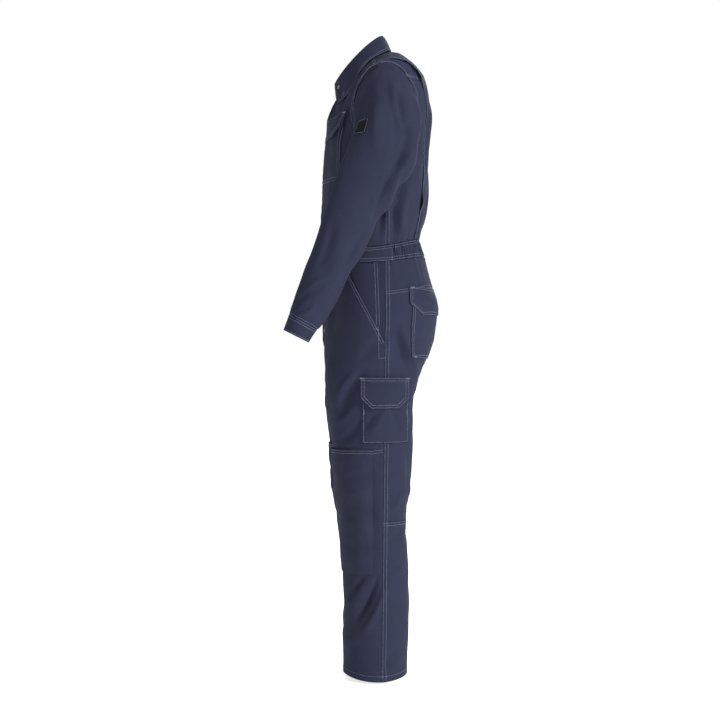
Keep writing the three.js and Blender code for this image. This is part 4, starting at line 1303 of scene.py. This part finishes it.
# Pockets and flaps: low and high edge across, top, bottom and corner cut, in the view that shows them.
CHEST_POCKET = (44, 165, -168, -321, 14)
CHEST_FLAP = (41, 168, -160, -221, 24)
SEAT_POCKET = (52, 181, -592, -746, 6)
SEAT_FLAP = (49, 185, -576, -642, 24)
THIGH_POCKET = (-34, 74, -806, -945, 3)
THIGH_FLAP = (-38, 76, -791, -864, 24)
THIGH_POCKET_FOLDS = [
    ("side", 2, -868, -34, -916, 7, -3.6),
    ("side", 34, -866, 72, -934, 7, -4),
    ("side", 18, -868, -20, -926, 8, 2.6),
    ("side", 54, -868, 74, -912, 6, 2.6),
]


def puffed(shell, base, puff, free, hem=0.0):
    """A pocket, stitched down and a little full between its stitches, or a flap, free at its bottom."""
    side = np.minimum(from_edge(shell.points, 1), to_edge(shell.points, 1))
    bottom = to_edge(shell.points, 0)
    top = from_edge(shell.points, 0)
    full = smooth(side / 30) * smooth(bottom / 32) * smooth((top + 12) / 30)
    if free:
        full = smooth(top / 60)
    rim = np.minimum(side, bottom)
    stitched = -0.3 * ridge(rim, 2, 0.9) - 0.3 * ridge(rim, 8, 0.9)
    along = top + from_edge(shell.points, 1)
    soft = slackness(shell.points, POCKET_WAVES) * smooth(rim / 15) * 0.8
    hemmed = hem * (1 - smooth((top - 16) / 2))
    return shell.lifted(base + puff * full + stitched + drawn(rim, along, 0.35) + soft + hemmed)


def build_chest_pockets():
    tree = search_tree(store["front_left"])
    pocket = puffed(patch(tree, "front", CHEST_POCKET, 22), LAYER, 3.5, False, 0.8)
    keep_pair("chest_pocket", pocket)
    flap = patch(tree, "front", CHEST_FLAP, 22)
    outer_share = smooth((flap.points[..., 0] - 50) / 100)
    flap = puffed(flap, 2 * LAYER + 0.8, 1.5 + 8 * outer_share, True)
    keep_pair("chest_flap", clear_of(flap, pocket, "front", 2.4))


def build_seat_pockets():
    tree = search_tree(store["trouser_back_left"], store["seat_yoke_left"])
    pocket = puffed(patch(tree, "back", SEAT_POCKET, 22, 80.0), LAYER + 0.4, 3, False, 0.8)
    keep_pair("seat_pocket", pocket)
    flap = patch(tree, "back", SEAT_FLAP, 22, 75.0)
    side = to_edge(flap.points, 1)
    flap = puffed(flap, LAYER + 1.2, 0.8 + 2.4 * smooth(side / 45), True)
    keep_pair("seat_flap", clear_of(flap, pocket, "back", 2.2))


def build_thigh_pockets():
    tree = search_tree(store["trouser_front_left"], store["trouser_back_left"])
    pocket = puffed(patch(tree, "side", THIGH_POCKET, 20), LAYER + 1.0, 4.5, False, 0.8)
    pocket = pocket.lifted(crease_depth(pocket.points, THIGH_POCKET_FOLDS))
    keep_pair("thigh_pocket", pocket, right_leg)
    flap = puffed(patch(tree, "side", THIGH_FLAP, 20), 2 * LAYER + 1.6, 5.2, True)
    keep_pair("thigh_flap", clear_of(flap, pocket, "side", 2.4), right_leg)


def build_knee_pockets():
    def edges(t):
        return inner_front(t), angle_at_y(between(LEG, t), KNEE_POCKET_BACK)

    rows_t = rows_along(LEG, *KNEE_POCKET_ROWS)
    angle, grid_t, left, right = strip(LEG, rows_t, edges, (EDGE, EDGE))
    points, out = base_nodes(LEG, -1, angle, grid_t)
    depth = cloth_depth(points, LEG_FOLDS) + slackness(points, LEG_WAVES) * smooth(left / 18)
    shell = Shell(points + out * depth[..., None], out)
    rim = np.minimum(right, to_edge(points, 0))
    top = from_edge(points, 0)
    full = smooth(rim / 35) * smooth(left / 30) * smooth((top + 5) / 40)
    band = 0.8 * (1 - smooth((top - 14) / 2)) - 0.3 * ridge(top, 4, 0.9)
    raised = LAYER + 0.7 + 3.2 * full + band + drawn(top, left, 0.4)
    keep_pair("knee_pocket", shell.lifted(raised), right_leg)


def build_placket():
    offsets = np.concatenate([
        [-22, -21, -19], np.linspace(-16, -3, 4), [0], np.linspace(3, 24, 6), [26, 27.2, 28]])

    def rows_of(table, facing, t):
        section = between(table, t)[:, None, :]
        x = np.broadcast_to(offsets[None, :], (len(t), len(offsets)))
        section = np.broadcast_to(section, x.shape + (10,))
        angle = -reach_to_x(section, np.maximum(np.abs(x), 0.2), section[..., 7])
        points, out = base_nodes(table, facing, angle, np.broadcast_to(t[:, None], x.shape))
        folds = BODY_FOLDS if facing > 0 else LEG_FOLDS
        points = points + out * cloth_depth(points, folds)[..., None]
        turn = np.where(x < 0, -1.0, 1.0)
        points[..., 0] *= turn
        out[..., 0] *= turn
        return points, out

    upper = rows_of(BODY, 1, body_rows(0.15, 9.75)[::-1])
    lower = rows_of(LEG, -1, rows_along(LEG, 0.1, 4.5, -89))
    points = np.concatenate([upper[0], lower[0]])
    out = np.concatenate([upper[1], lower[1]])
    shell = Shell(points, out)
    rim = np.minimum(from_edge(points, 1), to_edge(points, 1))
    soft = 0.5 * smooth(rim / 3) + 0.5 * np.sin(points[..., 2] / 37) * smooth(rim / 8)
    keep("front_placket", shell.lifted(2.0 + soft + drawn(rim, points[..., 2], 0.35)))


def build_label():
    """The plain label, square to the sleeve where it lies."""
    tree = search_tree(store["sleeve_left"])
    middle, out = cast(tree, "side", -36.5, -214)
    lean = math.radians(5)
    down = np.array([0, math.sin(lean), -math.cos(lean)])
    down = down - out * (down @ out)
    down /= np.linalg.norm(down)
    across = np.cross(down, out)
    points = []
    for v in np.linspace(-18, 18, 12):
        row = []
        for u in np.linspace(-18, 18, 12):
            start = Vector(middle + across * u + down * v + out * 25)
            hit = tree.ray_cast(start, Vector(-out))[0]
            row.append(np.array(hit))
        points.append(row)
    points = np.array(points)
    shell = Shell(points, np.zeros_like(points) + out)
    keep("sleeve_label", shell.lifted(1.3))


def add_snaps():
    """The solids' ring snaps, in their metal, lie on the folded collar."""
    fall = search_tree(store["collar_fall"])
    for side in ("left", "right"):
        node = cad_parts[f"collar_snap_{side}"]
        copy = bpy.data.objects.new(f"collar_snap_{side}_metal", node.data.copy())
        copy.data.materials.clear()
        copy.data.materials.append(material("snap"))
        bpy.context.scene.collection.objects.link(copy)
        settle(copy, fall)
        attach(copy, "root")
        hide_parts(f"collar_snap_{side}")


def settle(obj, tree):
    """Moves a small part so that its middle lies just outside the cloth."""
    where = np.empty(len(obj.data.vertices) * 3)
    obj.data.vertices.foreach_get("co", where)
    where = where.reshape(-1, 3)
    middle = (where.max(0) + where.min(0)) / 2
    hit, normal, _, _ = tree.find_nearest(Vector(middle / MM))
    out = np.array(normal)
    if out[1] > 0:
        out = -out
    where += (np.array(hit) + out * 1.0) * MM - middle
    obj.data.vertices.foreach_set("co", where.ravel())


def both(group, name, side, distances, start=0.0, stop=0.0):
    """Rows of stitches beside an edge of a left piece and of its right twin."""
    twin = {"left": "right", "right": "left"}
    stitch_beside(group, f"{name}_left", side, distances, start, stop)
    stitch_beside(group, f"{name}_right", twin.get(side, side), distances, start, stop)


def stitch_twice(group, points, normals, moved=None, lift=STITCH_LIFT):
    """Notes a line on the left side and its mirror image on the right side."""
    stitch(group, points, normals, lift)
    mirrored = points * (-1, 1, 1)
    if moved is not None:
        mirrored = mirrored + moved(mirrored[:, 2])
    stitch(group, mirrored, normals * (-1, 1, 1), lift)


def pocket_stitches(group, name, view, outline, insets, moved=None):
    """Stitches inside the edges of a pocket or flap, on both sides of the suit."""
    tree = search_tree(store[f"{name}_left"])
    for inset in insets:
        points, normals = outline_line(tree, view, pocket_outline(outline, inset))
        stitch_twice(group, points, normals, moved)


def bar_tack(group, tree, view, start, end, moved=None):
    """A short, dense bar of stitches."""
    points, normals = outline_line(tree, view, [start, end], 1.0)
    along = points[-1] - points[0]
    side = np.cross(normals[0], along / max(np.linalg.norm(along), 1e-6))
    for offset in (-0.7, 0.0, 0.7):
        stitch_twice(group + "_dense", points + side * offset, normals, moved, BAR_TACK_LIFT)


def lay_body_stitches():
    both("body", "front", "right", PAIR, start=185)
    both("body", "side_back", "left", FELLED_PAIR, start=3)
    both("body", "shoulder_yoke", "left", PAIR)
    for side in ("left", "right"):
        stitch_beside("body", "back_panel", side, [3], start=4, stop=90)
    both("body", "shoulder_yoke", "top", PAIR)
    stitch_beside("body", "collar_fall", "bottom", [2, 7], 3, 3)
    for side in ("left", "right"):
        stitch_beside("body", "collar_fall", side, [2, 7], 4, 2)
    stitch_beside("body", "front_placket", "left", [2], 2, 2)
    stitch_beside("body", "front_placket", "right", [2, 9], 2, 2)
    pocket_stitches("body", "chest_pocket", "front", CHEST_POCKET, PAIR)
    pocket_stitches("body", "chest_flap", "front", CHEST_FLAP, PAIR)
    both("body", "chest_flap", "top", [2], 2, 2)
    both("body", "sleeve", "bottom", [3])
    both("body", "cuff", "top", [2.4, 8])
    both("body", "cuff", "bottom", [3.5])
    for side in ("left", "right", "top", "bottom"):
        stitch_beside("label", "sleeve_label", side, [1.4], 1, 1)
    for side in ("top", "bottom"):
        both("body", "waistband_front", side, [2.2, 8])
    both("body", "waistband_front", "right", [2])
    for side in ("top", "bottom"):
        stitch_beside("body", "waistband_back", side, [3, 9])


def lay_leg_stitches():
    both("leg", "trouser_front", "right", PAIR, 2, 800)
    both("leg", "seat_yoke", "left", FELLED_PAIR)
    both("leg", "seat_yoke", "right", PAIR)
    for name in ("trouser_back", "lower_leg_back"):
        both("leg", name, "left", FELLED_PAIR)
        both("leg", name, "top", PAIR)
    for name in ("trouser_back", "lower_leg_back"):
        both("leg", name, "right", PAIR)
    for name in ("trouser_front", "lower_leg_back"):
        both("leg", name, "bottom", [13.5])
    for name in ("seat_pocket", "seat_flap"):
        for side in ("left", "right", "bottom"):
            both("leg", name, side, PAIR, 2, 2)
    both("leg", "seat_flap", "top", PAIR, 2, 2)
    pocket_stitches("leg", "thigh_pocket", "side", THIGH_POCKET, [2], right_leg)
    pocket_stitches("leg", "thigh_flap", "side", THIGH_FLAP, PAIR, right_leg)
    both("leg", "thigh_flap", "top", PAIR, 2, 2)
    both("leg", "knee_pocket", "top", [3, 9], 2, 2)
    both("knee", "knee_pocket", "bottom", [3, 8], 2, 2)
    lay_leg_front_lines()


def lay_leg_front_lines():
    """Lines on the trouser fronts: beside the pocket mouth, and on from the knee pocket's top."""
    front = search_tree(store["trouser_front_left"], store["hip_pocket_facing_left"])
    top = store["knee_pocket_left"].points[0, -1, 2]
    lines = [
        [(-5.8, -521), (-1.1, -668)],
        [(0.6, -521), (5.6, -668)],
        [(3.1, -673), (4.3, -745)],
        [(4.5, -746), (18, -746)],
        [(-8, top - 3), (12, top + 0.5)],
        [(-8, top - 9), (12, top - 5.5)],
    ]
    for corners in lines:
        points, normals = outline_line(front, "side", corners)
        stitch_twice("leg", points, normals, right_leg)


def middle_of(name):
    """Mean y and z of a solid's points in millimetres."""
    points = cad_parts[name].data.vertices
    return [sum(v.co[k] for v in points) / len(points) / MM for k in (1, 2)]


def lay_bar_tacks():
    thigh = search_tree(store["thigh_flap_left"], store["thigh_pocket_left"])
    for a in (-36, 74):
        bar_tack("leg", thigh, "side", (a - 4, -793.5), (a + 4, -793.5), right_leg)
    for a in (-31, 71):
        bar_tack("leg", thigh, "side", (a, -868), (a, -878), right_leg)
    seat = search_tree(store["seat_flap_left"], store["seat_pocket_left"])
    for a in (54, store["seat_flap_left"].points[0, -1, 0] - 5):
        bar_tack("leg", seat, "back", (a - 4, -579), (a + 4, -579))
    for a in (56, store["seat_pocket_left"].points[-1, -1, 0] - 4):
        bar_tack("leg", seat, "back", (a - 4, -742), (a + 3, -742))
    front = search_tree(store["trouser_front_left"])
    bar_tack("leg", front, "side", (-3, -676), (4, -681))
    chest = search_tree(store["chest_flap_left"])
    for a in (46, 163):
        bar_tack("body", chest, "front", (a - 4, -163), (a + 4, -163))
    back = search_tree(store["back_panel"])
    bar_tack("body", back, "side", (101, -394), (101.5, -405))
    collar = search_tree(store["collar_fall"])
    y, z = middle_of("collar_snap_left")
    bar_tack("body", collar, "side", (y + 12, z - 17), (y + 8, z - 26))


def stitch_tree():
    """Geometry Nodes: short padded stitches laid end to end along lines."""
    tree = bpy.data.node_groups.new("Stitches", "GeometryNodeTree")
    face = tree.interface
    face.new_socket("Geometry", in_out="INPUT", socket_type="NodeSocketGeometry")
    lengths = {"Pitch": STITCH_PITCH, "Length": STITCH_PITCH * STITCH_FILL, "Thickness": THREAD_WIDTH}
    for name, value in lengths.items():
        socket = face.new_socket(name, in_out="INPUT", socket_type="NodeSocketFloat")
        socket.subtype = "DISTANCE"
        socket.default_value = value
    seed = face.new_socket("Seed", in_out="INPUT", socket_type="NodeSocketInt")
    seed.default_value = STITCH_SEED
    face.new_socket("Thread", in_out="INPUT", socket_type="NodeSocketMaterial")
    face.new_socket("Geometry", in_out="OUTPUT", socket_type="NodeSocketGeometry")
    given = tree.nodes.new("NodeGroupInput").outputs
    curve = add_node(tree, "GeometryNodeMeshToCurve", {"Mesh": given["Geometry"]})
    spaced = add_node(tree, "GeometryNodeResampleCurve", {
        "Curve": curve.outputs[0], "Length": given["Pitch"]}, mode="LENGTH")
    ball = add_node(tree, "GeometryNodeMeshIcoSphere", {"Radius": 0.5, "Subdivisions": 1})
    flattened = add_node(tree, "ShaderNodeMath", {
        0: given["Thickness"], 1: THREAD_FLATNESS}, operation="MULTIPLY")
    size = add_node(tree, "ShaderNodeCombineXYZ", {
        "X": given["Length"], "Y": given["Thickness"], "Z": flattened.outputs[0]})
    one = add_node(tree, "GeometryNodeTransform", {
        "Geometry": ball.outputs["Mesh"], "Scale": size.outputs[0]})
    along = add_node(tree, "GeometryNodeInputTangent")
    out = add_node(tree, "GeometryNodeInputNamedAttribute", {"Name": "out"}, data_type="FLOAT_VECTOR")
    aimed = add_node(tree, "FunctionNodeAlignRotationToVector", {"Vector": along.outputs[0]}, axis="X")
    laid = add_node(tree, "FunctionNodeAlignRotationToVector", {
        "Rotation": aimed.outputs[0], "Vector": out.outputs["Attribute"]}, axis="Z", pivot_axis="X")
    uneven = add_node(tree, "FunctionNodeRandomValue", {"Seed": given["Seed"]}, data_type="FLOAT")
    uneven.inputs[2].default_value = 0.86
    uneven.inputs[3].default_value = 1.08
    placed = add_node(tree, "GeometryNodeInstanceOnPoints", {
        "Points": spaced.outputs[0], "Instance": one.outputs[0], "Rotation": laid.outputs[0],
        "Scale": uneven.outputs[1]})
    real = add_node(tree, "GeometryNodeRealizeInstances", {"Geometry": placed.outputs[0]})
    coloured = add_node(tree, "GeometryNodeSetMaterial", {
        "Geometry": real.outputs[0], "Material": given["Thread"]})
    result = tree.nodes.new("NodeGroupOutput")
    tree.links.new(coloured.outputs[0], result.inputs[0])
    return tree


def build_stitches(group, lines, tree, pitch):
    """Sews one group of lines and keeps the stitches as a mesh."""
    thread = material("navy_thread" if group == "knee" else "thread")
    points, edges, outs = [], [], []
    for line, normals in lines:
        start = len(points)
        points.extend((line * MM).tolist())
        outs.extend(normals.tolist())
        edges.extend((start + k, start + k + 1) for k in range(len(line) - 1))
    mesh = bpy.data.meshes.new(f"stitches_{group}")
    mesh.from_pydata(points, edges, [])
    attribute = mesh.attributes.new("out", "FLOAT_VECTOR", "POINT")
    attribute.data.foreach_set("vector", np.array(outs, np.float32).ravel())
    obj = bpy.data.objects.new(f"stitches_{group}", mesh)
    bpy.context.scene.collection.objects.link(obj)
    modifier = obj.modifiers.new("Stitches", "NODES")
    modifier.node_group = tree
    settings = bpy.context.scene.boiler_suit_stitch
    values = {"Pitch": pitch, "Length": pitch * settings.fill, "Thickness": settings.thickness,
              "Seed": STITCH_SEED, "Thread": thread}
    for item in tree.interface.items_tree:
        if item.in_out == "INPUT" and item.name in values:
            modifier[item.identifier] = values[item.name]
    bpy.context.view_layer.update()
    real = bpy.data.meshes.new_from_object(obj.evaluated_get(bpy.context.evaluated_depsgraph_get()))
    obj.modifiers.clear()
    obj.data = real
    real.name = f"stitches_{group}"
    real.polygons.foreach_set("use_smooth", np.ones(len(real.polygons), bool))
    if not real.materials:
        real.materials.append(thread)
    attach(obj, "root")


def length_setting(name, description, default):
    return bpy.props.FloatProperty(
        name=name, description=description, default=default, unit="LENGTH", subtype="DISTANCE")


class ClothSettings(bpy.types.PropertyGroup):
    """How finely the cloth is divided."""

    cell: length_setting("Cell", "Distance between the points of the cloth", 0.0054)


class StitchSettings(bpy.types.PropertyGroup):
    """Contrast stitching."""

    pitch: length_setting("Pitch", "From one stitch to the next", STITCH_PITCH)
    dense_pitch: length_setting("Bar tack pitch", "From one stitch to the next in a bar tack", BAR_TACK_PITCH)
    fill: bpy.props.FloatProperty(
        name="Fill", description="Share of the pitch that a stitch covers", default=STITCH_FILL,
        subtype="FACTOR")
    thickness: length_setting("Thickness", "Thickness of the thread", THREAD_WIDTH)


class StageSettings(bpy.types.PropertyGroup):
    """Floor, light and camera."""

    floor: length_setting("Floor", "Height of the floor", -1.515)
    distance: length_setting("Camera distance", "From the suit's middle plane to the camera", 3.2)


def pair(name, wall):
    return [(f"{name}_left", wall), (f"{name}_right", wall)]


# The pieces of each group and their walls.
SHELLS = {
    "body": pair("front", CLOTH) + [("back_panel", CLOTH)] + pair("side_back", CLOTH) +
    pair("shoulder_yoke", CLOTH),
    "sleeves": pair("sleeve", CLOTH) + pair("cuff", DOUBLED),
    "collar": [("collar_stand", CLOTH), ("collar_fall", CLOTH)],
    "waistband": pair("waistband_front", DOUBLED) + [("waistband_back", DOUBLED)],
    "trousers": pair("trouser_front", CLOTH) + pair("seat_yoke", CLOTH) + pair("trouser_back", CLOTH) +
    pair("lower_leg_back", CLOTH) + pair("hip_pocket_facing", CLOTH),
    "pockets": pair("chest_pocket", CLOTH) + pair("chest_flap", CLOTH) + pair("seat_pocket", CLOTH) +
    pair("seat_flap", CLOTH) + pair("thigh_pocket", CLOTH) + pair("thigh_flap", CLOTH) +
    pair("knee_pocket", CLOTH),
    "placket": [("front_placket", CLOTH)],
}


def make_group(group):
    for name, wall in SHELLS[group]:
        make_cloth(name, store[name], wall, flat_size(store[name]))


class SuitOperator:
    """Runs one step."""

    bl_options = {"REGISTER", "UNDO"}

    def execute(self, context):
        self.build()
        return {"FINISHED"}


class SUIT_OT_body(SuitOperator, bpy.types.Operator):
    """Build the front, back and yoke panels"""

    bl_idname = "suit.body"
    bl_label = "Body"

    def build(self):
        build_fronts()
        build_back()
        make_group("body")


class SUIT_OT_sleeves(SuitOperator, bpy.types.Operator):
    """Build the sleeves and cuffs"""

    bl_idname = "suit.sleeves"
    bl_label = "Sleeves"

    def build(self):
        build_sleeves()
        make_group("sleeves")


class SUIT_OT_collar(SuitOperator, bpy.types.Operator):
    """Build the collar"""

    bl_idname = "suit.collar"
    bl_label = "Collar"

    def build(self):
        build_collar()
        make_group("collar")


class SUIT_OT_waistband(SuitOperator, bpy.types.Operator):
    """Build the waistband"""

    bl_idname = "suit.waistband"
    bl_label = "Waistband"

    def build(self):
        build_waistband()
        make_group("waistband")


class SUIT_OT_trousers(SuitOperator, bpy.types.Operator):
    """Build the trouser panels"""

    bl_idname = "suit.trousers"
    bl_label = "Trousers"

    def build(self):
        build_trousers()
        make_group("trousers")


class SUIT_OT_pockets(SuitOperator, bpy.types.Operator):
    """Build the pockets, flaps and placket"""

    bl_idname = "suit.pockets"
    bl_label = "Pockets"

    def build(self):
        build_chest_pockets()
        build_seat_pockets()
        build_thigh_pockets()
        build_knee_pockets()
        build_placket()
        make_group("pockets")
        make_group("placket")


class SUIT_OT_trims(SuitOperator, bpy.types.Operator):
    """Add the plain label and the snaps"""

    bl_idname = "suit.trims"
    bl_label = "Trims"

    def build(self):
        build_label()
        label = make_object("sleeve_label", store["sleeve_label"], 0.9, "label")
        add_snaps()


class SUIT_OT_stitches(SuitOperator, bpy.types.Operator):
    """Sew the contrast stitches"""

    bl_idname = "suit.stitches"
    bl_label = "Stitches"

    def build(self):
        lay_body_stitches()
        lay_leg_stitches()
        lay_bar_tacks()
        settings = bpy.context.scene.boiler_suit_stitch
        tree = stitch_tree()
        for group, lines in stitch_lines.items():
            dense = group.endswith("_dense")
            build_stitches(group, lines, tree, settings.dense_pitch if dense else settings.pitch)


class SUIT_OT_stage(SuitOperator, bpy.types.Operator):
    """Add the floor, the lights and the camera"""

    bl_idname = "suit.stage"
    bl_label = "Stage"

    def build(self):
        settings = bpy.context.scene.boiler_suit_stage
        add_floor(settings.floor)
        add_lights()
        add_camera(settings.distance)


def add_floor(height):
    size = 40.0
    mesh = bpy.data.meshes.new("floor")
    corners = [(-size, -size), (size, -size), (size, size), (-size, size)]
    mesh.from_pydata([(x, y, height) for x, y in corners], [], [(0, 1, 2, 3)])
    mesh.materials.append(material("floor"))
    floor = bpy.data.objects.new("floor", mesh)
    bpy.context.scene.collection.objects.link(floor)
    add_sky()


def add_sky():
    """White behind the suit, and a weak even light from all round."""
    world = bpy.data.worlds.new("studio")
    world.use_nodes = True
    tree = world.node_tree
    tree.nodes.clear()
    seen = add_node(tree, "ShaderNodeBackground", {"Color": linear("#FFFFFF"), "Strength": 1.0})
    light = add_node(tree, "ShaderNodeBackground", {"Color": linear("#FFFFFF"), "Strength": 0.12})
    path = add_node(tree, "ShaderNodeLightPath")
    chosen = add_node(tree, "ShaderNodeMixShader", {0: path.outputs["Is Camera Ray"]})
    tree.links.new(light.outputs[0], chosen.inputs[1])
    tree.links.new(seen.outputs[0], chosen.inputs[2])
    result = tree.nodes.new("ShaderNodeOutputWorld")
    tree.links.new(chosen.outputs[0], result.inputs["Surface"])
    bpy.context.scene.world = world
    bpy.context.scene.view_settings.view_transform = "Standard"


def add_lights():
    """Wide, soft lights: where each comes from, its strength and its width in degrees."""
    lamps = [
        ("key", (0.66, 0.9, 0.5), 3.9, 14),
        ("counter", (-1.0, 0.15, 0.4), 2.4, 40),
        ("camera_side", (1.0, 0.0, -0.05), 2.1, 30),
        ("overhead", (0.1, -0.1, 1.0), 0.6, 60),
    ]
    for name, place, strength, width in lamps:
        lamp = bpy.data.lights.new(name, "SUN")
        lamp.energy = strength
        lamp.angle = math.radians(width)
        obj = bpy.data.objects.new(name, lamp)
        obj.location = place
        obj.rotation_euler = (-Vector(place)).to_track_quat("-Z", "Y").to_euler()
        bpy.context.scene.collection.objects.link(obj)


def add_camera(distance):
    camera = bpy.data.cameras.new("camera")
    camera.lens = CAMERA_LENS
    camera.sensor_width = 36
    obj = bpy.data.objects.new("camera", camera)
    obj.location = (distance, CAMERA_FORWARD, CAMERA_HEIGHT)
    obj.rotation_euler = (math.pi / 2, 0, math.pi / 2)
    bpy.context.scene.collection.objects.link(obj)
    bpy.context.scene.camera = obj


class SUIT_PT_panel(bpy.types.Panel):
    """Settings and steps of the boiler suit"""

    bl_idname = "SUIT_PT_panel"
    bl_label = "Boiler suit"
    bl_space_type = "VIEW_3D"
    bl_region_type = "UI"
    bl_category = "Boiler suit"

    def draw(self, context):
        scene = context.scene
        for settings in (scene.boiler_suit_cloth, scene.boiler_suit_stitch, scene.boiler_suit_stage):
            for name in settings.__annotations__:
                self.layout.prop(settings, name)
        for step in STEPS:
            self.layout.operator(step.bl_idname)


STEPS = [SUIT_OT_body, SUIT_OT_sleeves, SUIT_OT_collar, SUIT_OT_waistband, SUIT_OT_trousers, SUIT_OT_pockets,
         SUIT_OT_trims, SUIT_OT_stitches, SUIT_OT_stage]
SETTINGS = {
    "boiler_suit_cloth": ClothSettings,
    "boiler_suit_stitch": StitchSettings,
    "boiler_suit_stage": StageSettings,
}


def register():
    for name, group in SETTINGS.items():
        bpy.utils.register_class(group)
        setattr(bpy.types.Scene, name, bpy.props.PointerProperty(type=group))
    for item in STEPS + [SUIT_PT_panel]:
        bpy.utils.register_class(item)


def unregister():
    for item in [SUIT_PT_panel] + STEPS[::-1]:
        bpy.utils.unregister_class(item)
    for name, group in SETTINGS.items():
        delattr(bpy.types.Scene, name)
        bpy.utils.unregister_class(group)


def main():
    register()
    for step in STEPS:
        area, name = step.bl_idname.split(".")
        getattr(getattr(bpy.ops, area), name)()


if __name__ == "__main__":
    main()
